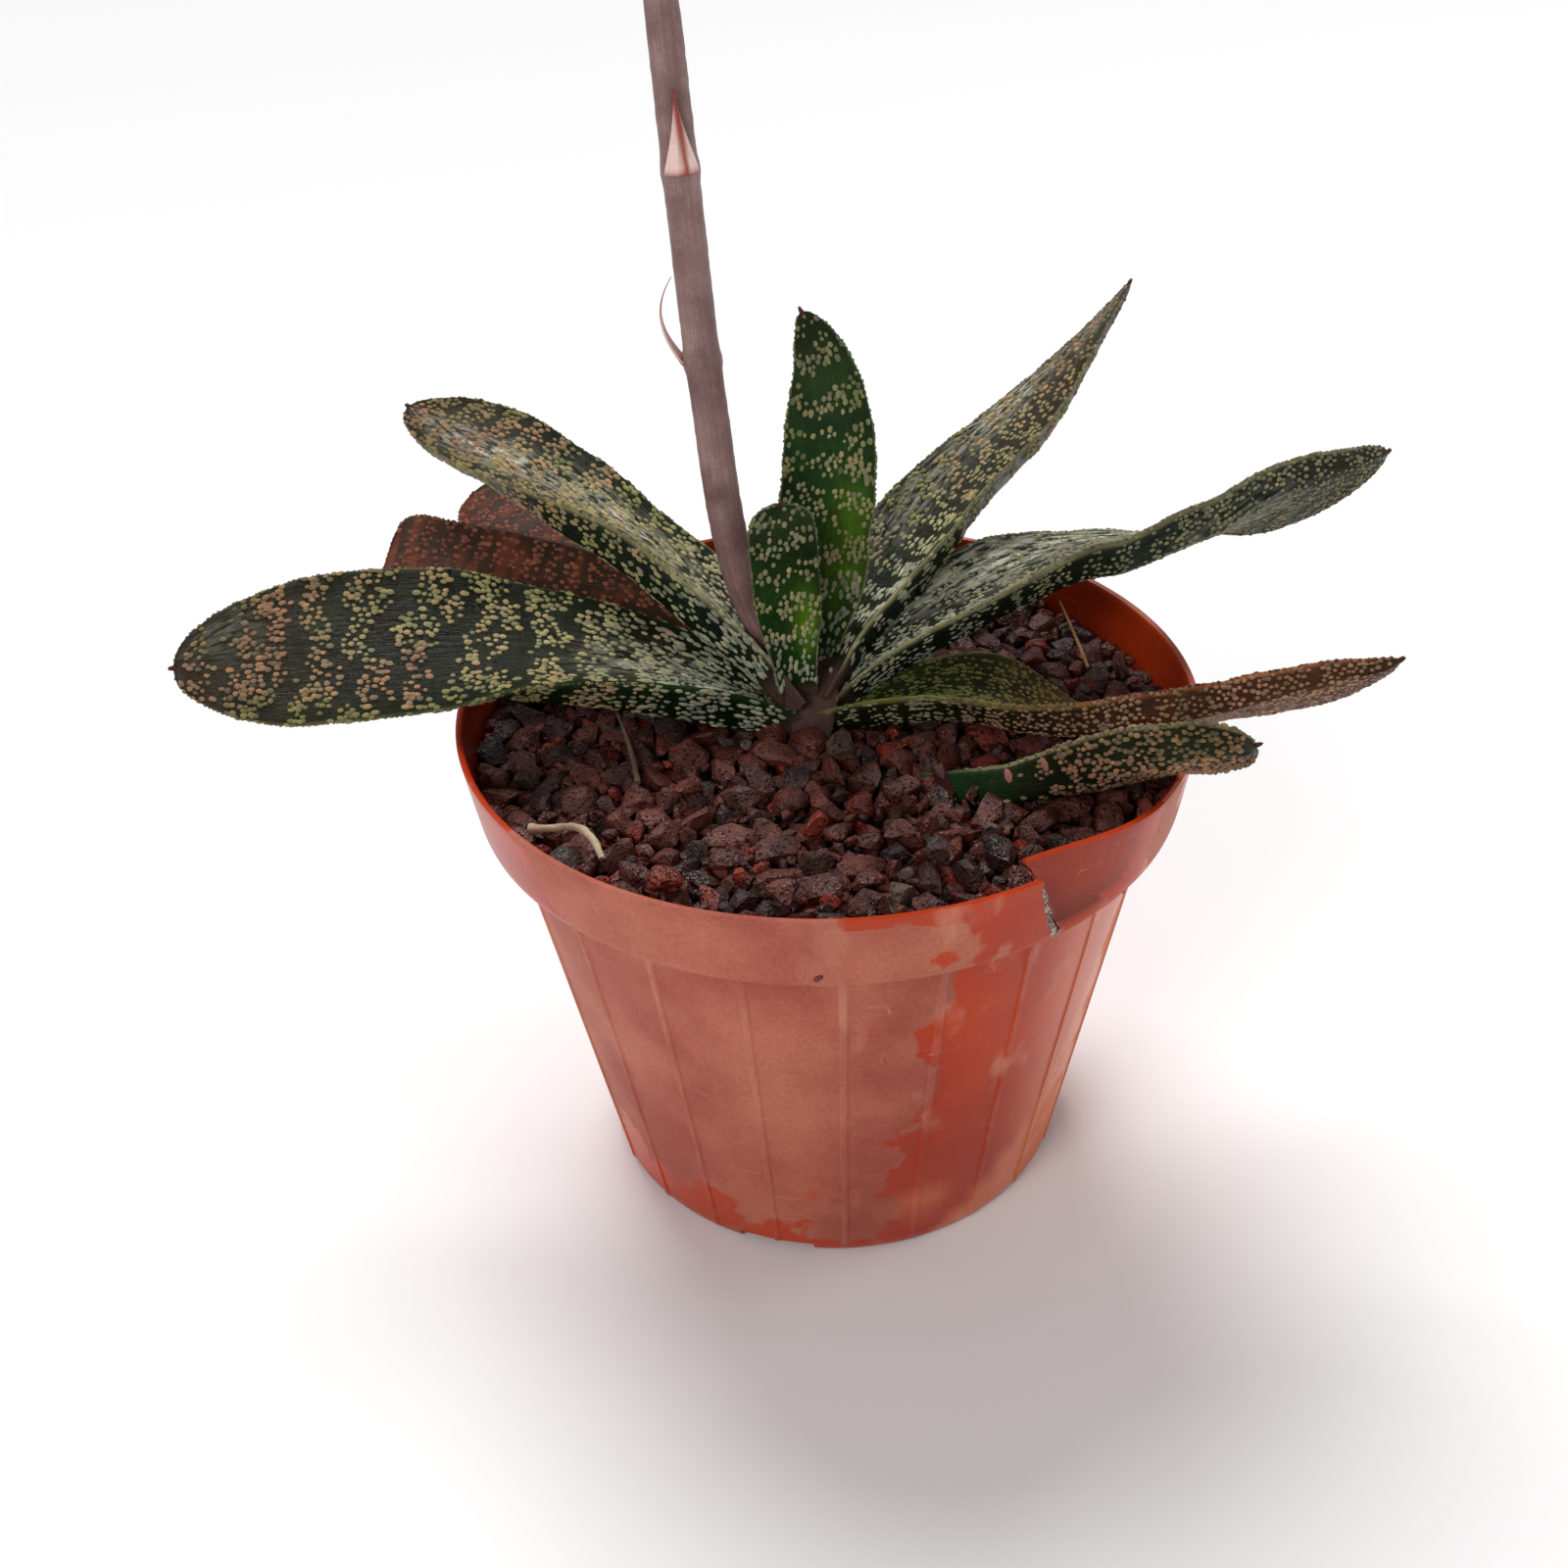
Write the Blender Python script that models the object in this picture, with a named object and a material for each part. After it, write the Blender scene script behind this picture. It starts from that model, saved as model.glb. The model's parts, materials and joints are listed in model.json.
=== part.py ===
"""Potted gasteria: a dark, spotted succulent with a flower stalk in a plastic nursery pot.

The model is in metres, with +Z up. The origin is the centre of the pot's underside, +X is to
the right and -Y is the front. Every piece is one closed solid with a small gap to its neighbours.
"""

import math
import random
from dataclasses import dataclass, field

import bmesh
import bpy
from mathutils import Matrix, Vector

MM = 0.001

# ---------------------------------------------------------------- driving dimensions
GAP = 0.3 * MM                      # clearance between pieces that touch

POT_HEIGHT = 102.0 * MM
RIM_RADIUS = 70.0 * MM              # outside of the rim's top edge
BAND_HEIGHT = 16.0 * MM             # upright band below the rim
BAND_FOOT_RADIUS = 67.5 * MM
BODY_TOP_RADIUS = 63.0 * MM         # tapered body, just under the band
BASE_RADIUS = 47.0 * MM
WALL = 1.3 * MM
FLOOR = 4.0 * MM
POT_SEGMENTS = 72

DRAIN_COUNT = 4
DRAIN_WIDTH = 15.0 * MM             # channel under the base, open at the rim of the base
DRAIN_HEIGHT = 2.4 * MM
DRAIN_INNER_RADIUS = 22.0 * MM
DRAIN_HOLE_RADIUS = 4.5 * MM
DRAIN_HOLE_PLACE = 33.0 * MM
DRAIN_TURN = -105.0                 # degrees, first channel

CRACK_TURN = -57.0                  # degrees, where the band is split
CRACK_WIDTH = 2.6 * MM
CRACK_DENT = 6.0 * MM               # how far the loose side of the band is pushed in
CRACK_DENT_SPAN = 28.0              # degrees until the band is back on its circle

GRAVEL_DROP = 9.0 * MM              # gravel below the rim, at the wall
GRAVEL_MOUND = 2.5 * MM             # extra height at the crown
GRAVEL_DEPTH = 11.0 * MM
GRAVEL_SIDE_GAP = 0.8 * MM          # room to the pot's wall, which is bent near its split

CROWN_X = -3.0 * MM
CROWN_Y = 4.0 * MM
CROWN_RISE = 3.0 * MM               # level of the crown above the gravel at the wall
STEM_FOOT_RADIUS = 9.0 * MM
STEM_TOP_RADIUS = 5.5 * MM
STEM_LENGTH = 34.0 * MM
STEM_TOP_ABOVE = 3.0 * MM           # above the crown's level
CROWN_HOLLOW_RADIUS = 18.0 * MM     # dish in the gravel where the leaf bases sit
ROOT_COUNT = 7
ROOT_RADIUS = 2.4 * MM
ROOT_REACH = 36.0 * MM
ROOT_FALL = 34.0 * MM

STALK_RADIUS = 3.2 * MM
STALK_TIP_RADIUS = 1.2 * MM
BUD_COUNT = 9
BUD_LENGTH = 9.0 * MM
BUD_RADIUS = 2.1 * MM

GRAVEL_LEVEL = POT_HEIGHT - GRAVEL_DROP
CROWN_LEVEL = GRAVEL_LEVEL + CROWN_RISE
CROWN = Vector((CROWN_X, CROWN_Y, CROWN_LEVEL))
RIM_RISE = (POT_HEIGHT - CROWN_LEVEL) / MM


DARK_GREEN = (0.035, 0.055, 0.025, 1.0)


@dataclass
class Leaf:
    """One leaf: a spine in its own upright plane, and profiles along it.

    Spine points are (out, aside, up) in millimetres from the leaf's root. Each profile is a list
    of (share of the length, value) pairs.
    """

    name: str
    turn: float                     # degrees round the crown, 0 = +X
    spine: list
    half_width: list
    roll: list                      # degrees, positive lifts the left side, looking outwards
    depth: list                     # millimetres, upper face to keel
    channel: list                   # millimetres, hollow of the upper face
    taper: float = 0.7              # share of the length where the tip starts
    tip_power: float = 2.2
    tip_round: float = 2.0
    keel: float = 0.5               # keel's place across the leaf, -1 to 1
    keel_power: float = 1.25
    root: Vector = field(default_factory=lambda: CROWN.copy())
    green: tuple = DARK_GREEN
    pressed_by: tuple = ()          # leaves that lie on this one near its root


# ---------------------------------------------------------------- leaves
FRESH_GREEN = (0.05, 0.11, 0.03, 1.0)
SUN_RED = (0.14, 0.04, 0.025, 1.0)

# The leaf that lies over the rim keeps its underside just above it.
OFFSET_ROOT = Vector((18.0 * MM, -14.0 * MM, GRAVEL_LEVEL + 1.0 * MM))
OFFSET_CROSSING = (RIM_RADIUS - OFFSET_ROOT.xy.length) / MM
OFFSET_RISE = (POT_HEIGHT + GAP - OFFSET_ROOT.z) / MM

LEAVES = [
    Leaf("leaf_inner_young", 100, [(-4, 3, 7), (-3, 4, 22), (-2, 5, 45)],
         half_width=[(0, 3.5), (0.5, 6), (1, 6)], roll=[(0, 0), (1, 0)],
         depth=[(0, 4), (0.5, 4), (1, 2)], channel=[(0, 1), (0.5, 1), (1, 0)],
         taper=0.8, tip_power=3.5, keel=0.4, keel_power=1.4, green=FRESH_GREEN),
    Leaf("leaf_upright", 90, [(5, 0, 7), (9, -3, 30), (11, -4.5, 52), (13, -3.5, 65), (14, 0, 74.5)],
         half_width=[(0, 4), (0.3, 8.5), (0.6, 8.5), (1, 7)], roll=[(0, 10), (1, 0)],
         depth=[(0, 5), (0.5, 6), (1, 2)], channel=[(0, 1), (0.3, 2), (0.5, 1.5), (1, 0)],
         taper=0.5, tip_power=2.4, tip_round=1.6, keel=0.4, keel_power=1.4, green=FRESH_GREEN),
    Leaf("leaf_right_back", 48, [(8, 0, 10), (35, 1, 30), (70, -1, 42), (90, 0, 50), (103, 1, 55)],
         half_width=[(0, 4.5), (0.3, 10.5), (0.6, 7.2), (1, 3.5)],
         roll=[(0, -10), (0.3, -10), (0.6, 0), (1, 0)],
         depth=[(0, 5), (0.2, 7), (0.5, 6), (1, 2)], channel=[(0, 2), (0.3, 3.5), (0.5, 1.5), (1, 0)],
         taper=0.5, tip_power=1.6, tip_round=1.2, keel=-0.6),
    Leaf("leaf_left_upper", 148, [(11, 4, 11), (30, -1, 27), (60, 0, 38), (85, 0, 42), (95, 0, 43)],
         half_width=[(0, 4.5), (0.3, 9.5), (0.62, 11), (0.8, 10), (1, 8)],
         roll=[(0, 15), (0.4, 12), (0.75, -8), (1, -12)],
         depth=[(0, 4), (0.2, 6), (0.5, 6), (0.8, 4), (1, 2)],
         channel=[(0, 2), (0.4, 3), (0.8, 1), (1, 0)], taper=0.8, tip_power=2.5, keel=0.6),
    Leaf("leaf_right_upper", 16, [(8, -1, 6), (40, 2, 25), (75, 1, 28), (105, 0, 32), (118, 0, 36)],
         half_width=[(0, 4.5), (0.3, 10), (0.6, 9), (0.85, 9.5), (1, 8)],
         roll=[(0, 5), (0.3, 0), (0.5, -20), (0.65, -45), (0.8, -72), (1, -78)],
         depth=[(0, 5), (0.2, 7), (0.5, 6), (1, 2)], channel=[(0, 2), (0.3, 4), (0.5, 2), (1, 0)],
         taper=0.75, tip_power=2.0, tip_round=1.8, keel=-0.6, pressed_by=("leaf_right_back",)),
    Leaf("leaf_left_rear", 163, [(8, -3, 3), (35, -1, 14), (65, 0, 18), (89, 0, 19)],
         half_width=[(0, 4.5), (0.3, 10), (0.62, 12), (1, 12)], roll=[(0, 0), (0.3, -30), (1, -40)],
         depth=[(0, 4), (0.5, 4), (1, 2)], channel=[(0, 1), (0.3, 2), (0.5, 1), (1, 0)],
         taper=0.86, tip_power=6.0, keel=0.3, keel_power=1.5, green=SUN_RED,
         pressed_by=("leaf_left_front", "leaf_left_upper")),
    Leaf("leaf_left_far", 138, [(9, -3, 1), (25, -2.5, 7), (45, -2, 10), (75, 0, 15), (98, 0, 16)],
         half_width=[(0, 4.5), (0.3, 9), (0.62, 10), (1, 10)], roll=[(0, 0), (0.3, -10), (1, -20)],
         depth=[(0, 2.5), (0.5, 3), (1, 2)], channel=[(0, 1), (0.3, 2), (0.5, 1), (1, 0)],
         taper=0.8, tip_power=4.0, keel=0.3, keel_power=1.5, green=SUN_RED,
         pressed_by=("leaf_left_rear", "leaf_left_upper")),
    Leaf("leaf_right_low", -17, [(8, 0, 5), (18, 1, 10), (30, 2, 12), (55, 0, RIM_RISE + 4),
                                 (78, 0, RIM_RISE + 9), (106, 0, RIM_RISE + 21)],
         half_width=[(0, 4.5), (0.3, 10), (0.6, 7), (0.9, 6.5), (1, 5)],
         roll=[(0, -5), (0.3, -5), (0.6, -55), (1, -65)],
         depth=[(0, 4), (0.2, 6), (0.5, 5), (1, 2)], channel=[(0, 2), (0.3, 4), (0.5, 3), (1, 0)],
         taper=0.75, tip_power=2.0, tip_round=1.8, keel=-0.6, green=SUN_RED,
         pressed_by=("leaf_right_upper",)),
    Leaf("leaf_left_front", 183, [(8, 2, 4), (22, 1, 13), (48, 1, 19.5), (80, 1, 20),
                                  (105, 0, 17.5), (120, -1, 15.5)],
         half_width=[(0, 5), (0.3, 11), (0.62, 15), (0.8, 15.5), (1, 14)],
         roll=[(0, 0), (0.25, -22), (0.6, -34), (1, -40)],
         depth=[(0, 4), (0.2, 7), (0.3, 8), (0.6, 4), (1, 1)],
         channel=[(0, 2), (0.3, 3), (0.8, 0.3), (1, 0)], taper=0.66, tip_power=2.4, keel=0.6,
         pressed_by=("leaf_left_upper",)),
    Leaf("leaf_offset", -25, [(-6, 0, -2), (19, 0, 3), (OFFSET_CROSSING - 4, 0, OFFSET_RISE + 7),
                              (OFFSET_CROSSING + 13, 0, OFFSET_RISE + 12)],
         half_width=[(0, 3), (0.3, 5), (0.6, 7.8), (1, 7.8)], roll=[(0, -60), (1, -60)],
         depth=[(0, 4), (0.5, 4), (1, 2)], channel=[(0, 1), (0.5, 0), (1, 0)],
         taper=0.7, tip_power=2.2, keel=-0.2, keel_power=1.5, root=OFFSET_ROOT),
]


# ---------------------------------------------------------------- helpers
def clear_scene():
    """Remove every object, so that the script starts empty."""
    for item in list(bpy.data.objects):
        bpy.data.objects.remove(item, do_unlink=True)


def make_material(name, colour, roughness=0.5):
    """Return a plain material with a base colour and a roughness."""
    material = bpy.data.materials.new(name)
    material.use_nodes = True
    shader = material.node_tree.nodes["Principled BSDF"]
    shader.inputs["Base Color"].default_value = colour
    shader.inputs["Roughness"].default_value = roughness
    material.diffuse_color = colour
    return material


def add_object(name, mesh_data, material=None, smooth=35.0):
    """Make an object from a bmesh and give it a material."""
    mesh = bpy.data.meshes.new(name)
    mesh_data.normal_update()
    bmesh.ops.recalc_face_normals(mesh_data, faces=mesh_data.faces)
    mesh_data.to_mesh(mesh)
    mesh_data.free()
    item = bpy.data.objects.new(name, mesh)
    bpy.context.scene.collection.objects.link(item)
    mesh.shade_smooth()
    mesh.set_sharp_from_angle(angle=math.radians(smooth))
    if material:
        mesh.materials.append(material)
    return item


def hide_cutter(item):
    """Mark an object as a cutter, which is not a piece of the model."""
    item.hide_render = True
    item.display_type = "WIRE"
    return item


def cut(item, cutter):
    """Cut one object with another."""
    modifier = item.modifiers.new("cut_" + cutter.name, "BOOLEAN")
    modifier.operation = "DIFFERENCE"
    modifier.solver = "EXACT"
    modifier.object = cutter


def unite(item, other):
    """Join another object's solid into this one."""
    modifier = item.modifiers.new("join_" + other.name, "BOOLEAN")
    modifier.operation = "UNION"
    modifier.solver = "EXACT"
    modifier.object = other


def loft(name, rings, material=None, smooth=35.0):
    """Skin a list of rings of points and cap both ends."""
    data = bmesh.new()
    rows = [[data.verts.new(point) for point in ring] for ring in rings]
    count = len(rows[0])
    for lower, upper in zip(rows, rows[1:]):
        for i in range(count):
            data.faces.new((lower[i], lower[(i + 1) % count], upper[(i + 1) % count], upper[i]))
    data.faces.new(rows[0][::-1])
    data.faces.new(rows[-1])
    return add_object(name, data, material, smooth)


def spline(points, share):
    """Return the place and direction on a smooth curve through points, at a share of its length."""
    knots = [0.0]
    for a, b in zip(points, points[1:]):
        knots.append(knots[-1] + (b - a).length)
    knots = [k / knots[-1] for k in knots]
    last = len(points) - 1
    i = next((n for n in range(last) if share <= knots[n + 1]), last - 1)
    span = knots[i + 1] - knots[i]
    t = (share - knots[i]) / span

    def slope(n):
        low, high = max(n - 1, 0), min(n + 1, last)
        return (points[high] - points[low]) / (knots[high] - knots[low])

    a, b, ma, mb = points[i], points[i + 1], slope(i) * span, slope(i + 1) * span
    place = (a * (2 * t**3 - 3 * t**2 + 1) + ma * (t**3 - 2 * t**2 + t)
             + b * (3 * t**2 - 2 * t**3) + mb * (t**3 - t**2))
    direction = (a * (6 * t**2 - 6 * t) + ma * (3 * t**2 - 4 * t + 1)
                 + b * (6 * t - 6 * t**2) + mb * (3 * t**2 - 2 * t))
    return place, direction.normalized()


def profile(pairs, share):
    """Return a value eased between (share, value) pairs."""
    if share <= pairs[0][0]:
        return pairs[0][1]
    for (s0, v0), (s1, v1) in zip(pairs, pairs[1:]):
        if share <= s1:
            t = (share - s0) / (s1 - s0)
            t = t * t * (3 - 2 * t)
            return v0 + (v1 - v0) * t
    return pairs[-1][1]


def tube(name, points, radius_at, sides, sections, material=None, grow=0.0):
    """Make a round tube along a smooth curve, with a radius for each share of its length."""
    rings = []
    for n in range(sections):
        share = n / (sections - 1)
        place, direction = spline(points, share)
        across = direction.cross(Vector((0.3, 1.0, 0.2))).normalized()
        over = direction.cross(across)
        radius = radius_at(share) + grow
        if n in (0, sections - 1):
            place = place + direction * (grow if n else -grow)
        rings.append([place + across * radius * math.cos(a) + over * radius * math.sin(a)
                      for a in (2 * math.pi * k / sides for k in range(sides))])
    return loft(name, rings, material)


# ---------------------------------------------------------------- pot
def crack_dent(angle, height):
    """How far the split band is pushed in at an angle (degrees) and a height."""
    away = angle - CRACK_TURN
    if away < 0.0 or away > CRACK_DENT_SPAN:
        return 0.0
    ledge = POT_HEIGHT - BAND_HEIGHT + WALL
    climb = (height - ledge) / (POT_HEIGHT - ledge)
    swing = 0.5 + 0.5 * math.cos(math.pi * away / CRACK_DENT_SPAN)
    return CRACK_DENT * swing * max(0.0, min(1.0, climb))


def body_radius(height):
    """Outer radius of the tapered body at a height."""
    share = height / (POT_HEIGHT - BAND_HEIGHT)
    return BASE_RADIUS + (BODY_TOP_RADIUS - BASE_RADIUS) * share


def band_radius(height):
    """Outer radius of the rim band at a height."""
    share = (height - (POT_HEIGHT - BAND_HEIGHT)) / BAND_HEIGHT
    return BAND_FOOT_RADIUS + (RIM_RADIUS - BAND_FOOT_RADIUS) * share


def inner_outline():
    """The cavity's (radius, height) points from the rim down to the floor."""
    foot = POT_HEIGHT - BAND_HEIGHT
    middle = 0.5 * (POT_HEIGHT + foot)
    return [(RIM_RADIUS - WALL, POT_HEIGHT), (band_radius(middle) - WALL, middle),
            (BAND_FOOT_RADIUS - WALL, foot + WALL), (BODY_TOP_RADIUS - WALL, foot + WALL),
            (body_radius(0.5 * foot) - WALL, 0.5 * foot), (body_radius(FLOOR) - WALL, FLOOR)]


def inner_radius(height):
    """Radius of the pot's cavity at a height, where the band is not pushed in."""
    points = inner_outline()
    for (r1, z1), (r0, z0) in zip(points, points[1:]):
        if z0 < height <= z1:
            return r0 + (r1 - r0) * (height - z0) / (z1 - z0)
    return points[-1][0]


def pot_angles():
    """Angles round the pot, in degrees, with two close together at the split."""
    step = 360.0 / POT_SEGMENTS
    start = CRACK_TURN + 0.5
    angles = [start + step * n for n in range(POT_SEGMENTS)]
    return angles + [CRACK_TURN + 360.0 - 0.5]


def revolve(outline, angles):
    """Turn (radius, height) points into rings of points, each with the dent of the split."""
    rings = []
    for radius, height in outline:
        ring = []
        for angle in angles:
            turned = (angle - CRACK_TURN) % 360.0 + CRACK_TURN
            r = radius - crack_dent(turned, height)
            ring.append(Vector((r * math.cos(math.radians(angle)), r * math.sin(math.radians(angle)),
                                height)))
        rings.append(ring)
    return rings


def build_pot(material):
    """The nursery pot: tapered body, rim band with a split, drained base."""
    band_foot = POT_HEIGHT - BAND_HEIGHT
    middle = 0.5 * (POT_HEIGHT + band_foot)
    outline = [(BASE_RADIUS, 0.0), (body_radius(band_foot * 0.5), band_foot * 0.5),
               (BODY_TOP_RADIUS, band_foot), (BAND_FOOT_RADIUS, band_foot),
               (band_radius(middle), middle), (RIM_RADIUS, POT_HEIGHT)] + inner_outline()
    pot = loft("pot", revolve(outline, pot_angles()), material, smooth=30.0)

    for n in range(DRAIN_COUNT):
        turn = Matrix.Rotation(math.radians(DRAIN_TURN + 360.0 / DRAIN_COUNT * n), 4, "Z")
        data = bmesh.new()
        bmesh.ops.create_cube(data, size=1.0)
        reach = BASE_RADIUS * 1.2 - DRAIN_INNER_RADIUS
        for vert in data.verts:
            vert.co = Vector((DRAIN_INNER_RADIUS + (vert.co.x + 0.5) * reach,
                              vert.co.y * DRAIN_WIDTH, (vert.co.z + 0.5) * 2.0 * DRAIN_HEIGHT - DRAIN_HEIGHT))
        data.transform(turn)
        cut(pot, hide_cutter(add_object(f"drain_channel_{n}", data)))

        data = bmesh.new()
        bmesh.ops.create_cone(data, cap_ends=True, segments=12, radius1=DRAIN_HOLE_RADIUS,
                              radius2=DRAIN_HOLE_RADIUS, depth=3.0 * FLOOR)
        data.transform(turn @ Matrix.Translation((DRAIN_HOLE_PLACE, 0.0, 0.5 * FLOOR)))
        cut(pot, hide_cutter(add_object(f"drain_hole_{n}", data)))

    cut(pot, hide_cutter(build_crack_cutter()))
    return pot


def build_crack_cutter():
    """A wedge, wider at the top, that splits the rim band."""
    data = bmesh.new()
    bmesh.ops.create_cube(data, size=1.0)
    foot, top = POT_HEIGHT - BAND_HEIGHT - 1.5 * MM, POT_HEIGHT + 2.0 * MM
    inside, outside = RIM_RADIUS - 2.2 * CRACK_DENT, RIM_RADIUS + 4.0 * MM
    for vert in data.verts:
        width = CRACK_WIDTH if vert.co.z > 0.0 else 0.6 * CRACK_WIDTH
        vert.co = Vector((inside + (vert.co.x + 0.5) * (outside - inside), vert.co.y * width,
                          foot + (vert.co.z + 0.5) * (top - foot)))
    data.transform(Matrix.Rotation(math.radians(CRACK_TURN), 4, "Z"))
    return add_object("crack_cutter", data)


# ---------------------------------------------------------------- fill of the pot
def gravel_height(radius):
    """Height of the gravel's surface at a distance from the pot's axis."""
    edge = inner_radius(GRAVEL_LEVEL)
    return GRAVEL_LEVEL + GRAVEL_MOUND * math.cos(0.5 * math.pi * min(1.0, radius / edge))


def build_gravel(material):
    """Top layer of lava gravel, gently mounded towards the crown."""
    angles = pot_angles()
    foot = POT_HEIGHT - BAND_HEIGHT + WALL + GAP
    lower = GRAVEL_LEVEL - GRAVEL_DEPTH
    side = GRAVEL_SIDE_GAP
    outline = [(inner_radius(lower) - side, lower), (BODY_TOP_RADIUS - WALL - side, foot),
               (inner_radius(foot) - side, foot), (inner_radius(GRAVEL_LEVEL) - side, GRAVEL_LEVEL)]
    for share in (0.8, 0.55, 0.3):
        radius = inner_radius(GRAVEL_LEVEL) * share
        outline.append((radius, gravel_height(radius)))
    return loft("lava_gravel", revolve(outline, angles), material)


def build_crown_hollow():
    """A cone, open upwards, that clears the gravel round the leaf bases."""
    data = bmesh.new()
    depth = GRAVEL_DEPTH + 2.0 * GRAVEL_MOUND
    bmesh.ops.create_cone(data, cap_ends=True, segments=24, radius1=STEM_FOOT_RADIUS + 2.0 * GAP,
                          radius2=CROWN_HOLLOW_RADIUS, depth=depth)
    foot = GRAVEL_LEVEL - GRAVEL_DEPTH - 1.0 * MM
    data.transform(Matrix.Translation((CROWN_X, CROWN_Y, foot + 0.5 * depth)))
    return hide_cutter(add_object("crown_hollow", data))


def build_mix(material):
    """Potting mix under the gravel, filling the tapered body."""
    top = GRAVEL_LEVEL - GRAVEL_DEPTH - GAP
    knee = 0.5 * (POT_HEIGHT - BAND_HEIGHT)
    outline = [(inner_radius(FLOOR) - GAP, FLOOR + GAP), (inner_radius(knee) - GAP, knee),
               (inner_radius(top) - GAP, top)]
    return loft("potting_mix", revolve(outline, pot_angles()[::2]), material)


def stem_points():
    """Axis of the short stem, from its foot to its top."""
    top = CROWN + Vector((0.0, 0.0, STEM_TOP_ABOVE))
    return [top - Vector((0.0, 0.0, STEM_LENGTH)), top - Vector((0.0, 0.0, 0.5 * STEM_LENGTH)), top]


def stem_radius(share):
    """Radius of the short stem along its length."""
    return STEM_FOOT_RADIUS + (STEM_TOP_RADIUS - STEM_FOOT_RADIUS) * share**3


def build_rootstock(name, material=None, grow=0.0):
    """Short stem with thick roots running out and down from its foot."""
    stock = tube(name, stem_points(), stem_radius, 16, 6, material, grow)
    foot = stem_points()[0]
    for n in range(ROOT_COUNT):
        angle = 2 * math.pi * (n + 0.3) / ROOT_COUNT
        fall = ROOT_FALL * (1.0 if n % 2 else 0.7)
        out = Vector((math.cos(angle), math.sin(angle), 0.0))
        down = Vector((0.0, 0.0, -1.0))
        start = foot + Vector((0.0, 0.0, 4.0 * MM)) + out * 2.0 * MM
        route = [start, start + out * 0.45 * ROOT_REACH + down * 0.25 * fall,
                 start + out * 0.8 * ROOT_REACH + down * 0.6 * fall, start + out * ROOT_REACH + down * fall]
        root = tube(f"{name}_root_{n}", route, lambda s: ROOT_RADIUS * (1.0 - 0.6 * s), 7, 6, None, grow)
        unite(stock, hide_cutter(root))
    return stock


# ---------------------------------------------------------------- leaves and stalk
def leaf_rings(leaf, sections, columns, grow=0.0):
    """Rings of points of a leaf: upper face, then lower face with its keel."""
    angle = math.radians(leaf.turn)
    out = Vector((math.cos(angle), math.sin(angle), 0.0))
    aside = Vector((-math.sin(angle), math.cos(angle), 0.0))
    up = Vector((0.0, 0.0, 1.0))
    points = [leaf.root + (out * a + aside * b + up * c) * MM for a, b, c in leaf.spine]
    rings = []
    for n in range(sections):
        share = 1.0 - (1.0 - n / (sections - 1)) ** 1.25
        place, direction = spline(points, share)
        side = (aside - direction * direction.dot(aside)).normalized()
        normal = direction.cross(side)
        roll = math.radians(profile(leaf.roll, share))
        side, normal = (side * math.cos(roll) + normal * math.sin(roll),
                        normal * math.cos(roll) - side * math.sin(roll))
        tip = max(0.0, min(1.0, (share - leaf.taper) / (1.0 - leaf.taper)))
        width = profile(leaf.half_width, share) * (1.0 - tip**leaf.tip_power) ** (1.0 / leaf.tip_round) + 0.35
        depth = profile(leaf.depth, share) * (1.0 - tip**4) ** 0.5 + 0.5
        hollow = profile(leaf.channel, share) * (1.0 - tip**2)
        edge = min(1.0, 0.5 * depth)
        upper, lower = [], []
        for k in range(columns):
            across = 2.0 * k / (columns - 1) - 1.0
            across = math.copysign(abs(across) ** 0.8, across)
            room = 1.0 + leaf.keel if across < leaf.keel else 1.0 - leaf.keel
            hump = 1.0 - (abs(across - leaf.keel) / room) ** leaf.keel_power
            top = -hollow * (1.0 - across**2)
            bottom = min(-edge - depth * hump, top - 0.8 * edge)
            grown = (width * MM + grow) * across
            upper.append(place + side * grown + normal * (top * MM + grow))
            lower.append(place + side * grown + normal * (bottom * MM - grow))
        if n == 0:
            shift = -direction * grow
        elif n == sections - 1:
            shift = direction * grow
        else:
            shift = Vector()
        rings.append([p + shift for p in upper + lower[::-1]])
    return rings


def build_leaf(leaf, material):
    """One leaf as a closed solid."""
    return loft(leaf.name, leaf_rings(leaf, 17, 7), material, smooth=50.0)


def build_leaf_cutter(leaf):
    """The same leaf, larger by the clearance, to cut what it presses against."""
    return hide_cutter(loft("clear_" + leaf.name, leaf_rings(leaf, 17, 7, GAP)))


STALK_ROUTE = [CROWN + Vector((x, y, z)) * MM for x, y, z in
               ((-4.5, 4.5, 6.5), (-11, 4, 22), (-17, 4.5, 64), (-19, 5, 95), (-21, 6, 130), (-23, 7, 160),
                (-26, 8, 185))]


def stalk_radius(share):
    """Radius of the flower stalk, even below and tapering in the flowering part."""
    return STALK_RADIUS - (STALK_RADIUS - STALK_TIP_RADIUS) * max(0.0, (share - 0.6) / 0.4) ** 1.2


def build_bract(name, share, turn, length, lean, material):
    """A thin pointed bract that stands on the stalk's side."""
    place, direction = spline(STALK_ROUTE, share)
    away = Vector((math.cos(math.radians(turn)), math.sin(math.radians(turn)), 0.0))
    away = (away - direction * direction.dot(away)).normalized()
    side = direction.cross(away)
    base = stalk_radius(share) + GAP
    rings = []
    for n in range(8):
        s = n / 7.0
        width = 3.0 * MM * (1.0 - s**1.3) + 0.15 * MM
        thick = 0.35 * MM * (1.0 - 0.5 * s)
        centre = place + direction * length * s + away * (lean * s * (1.0 - 0.3 * s))
        ring = []
        for layer, columns in ((thick, range(-2, 3)), (0.0, range(2, -3, -1))):
            for k in columns:
                bend = max(-1.2, min(1.2, width / base * k / 2.0))
                ring.append(centre + away * (base + layer) * math.cos(bend)
                            + side * (base + layer) * math.sin(bend))
        rings.append(ring)
    return loft(name, rings, material, smooth=60.0)


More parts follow.
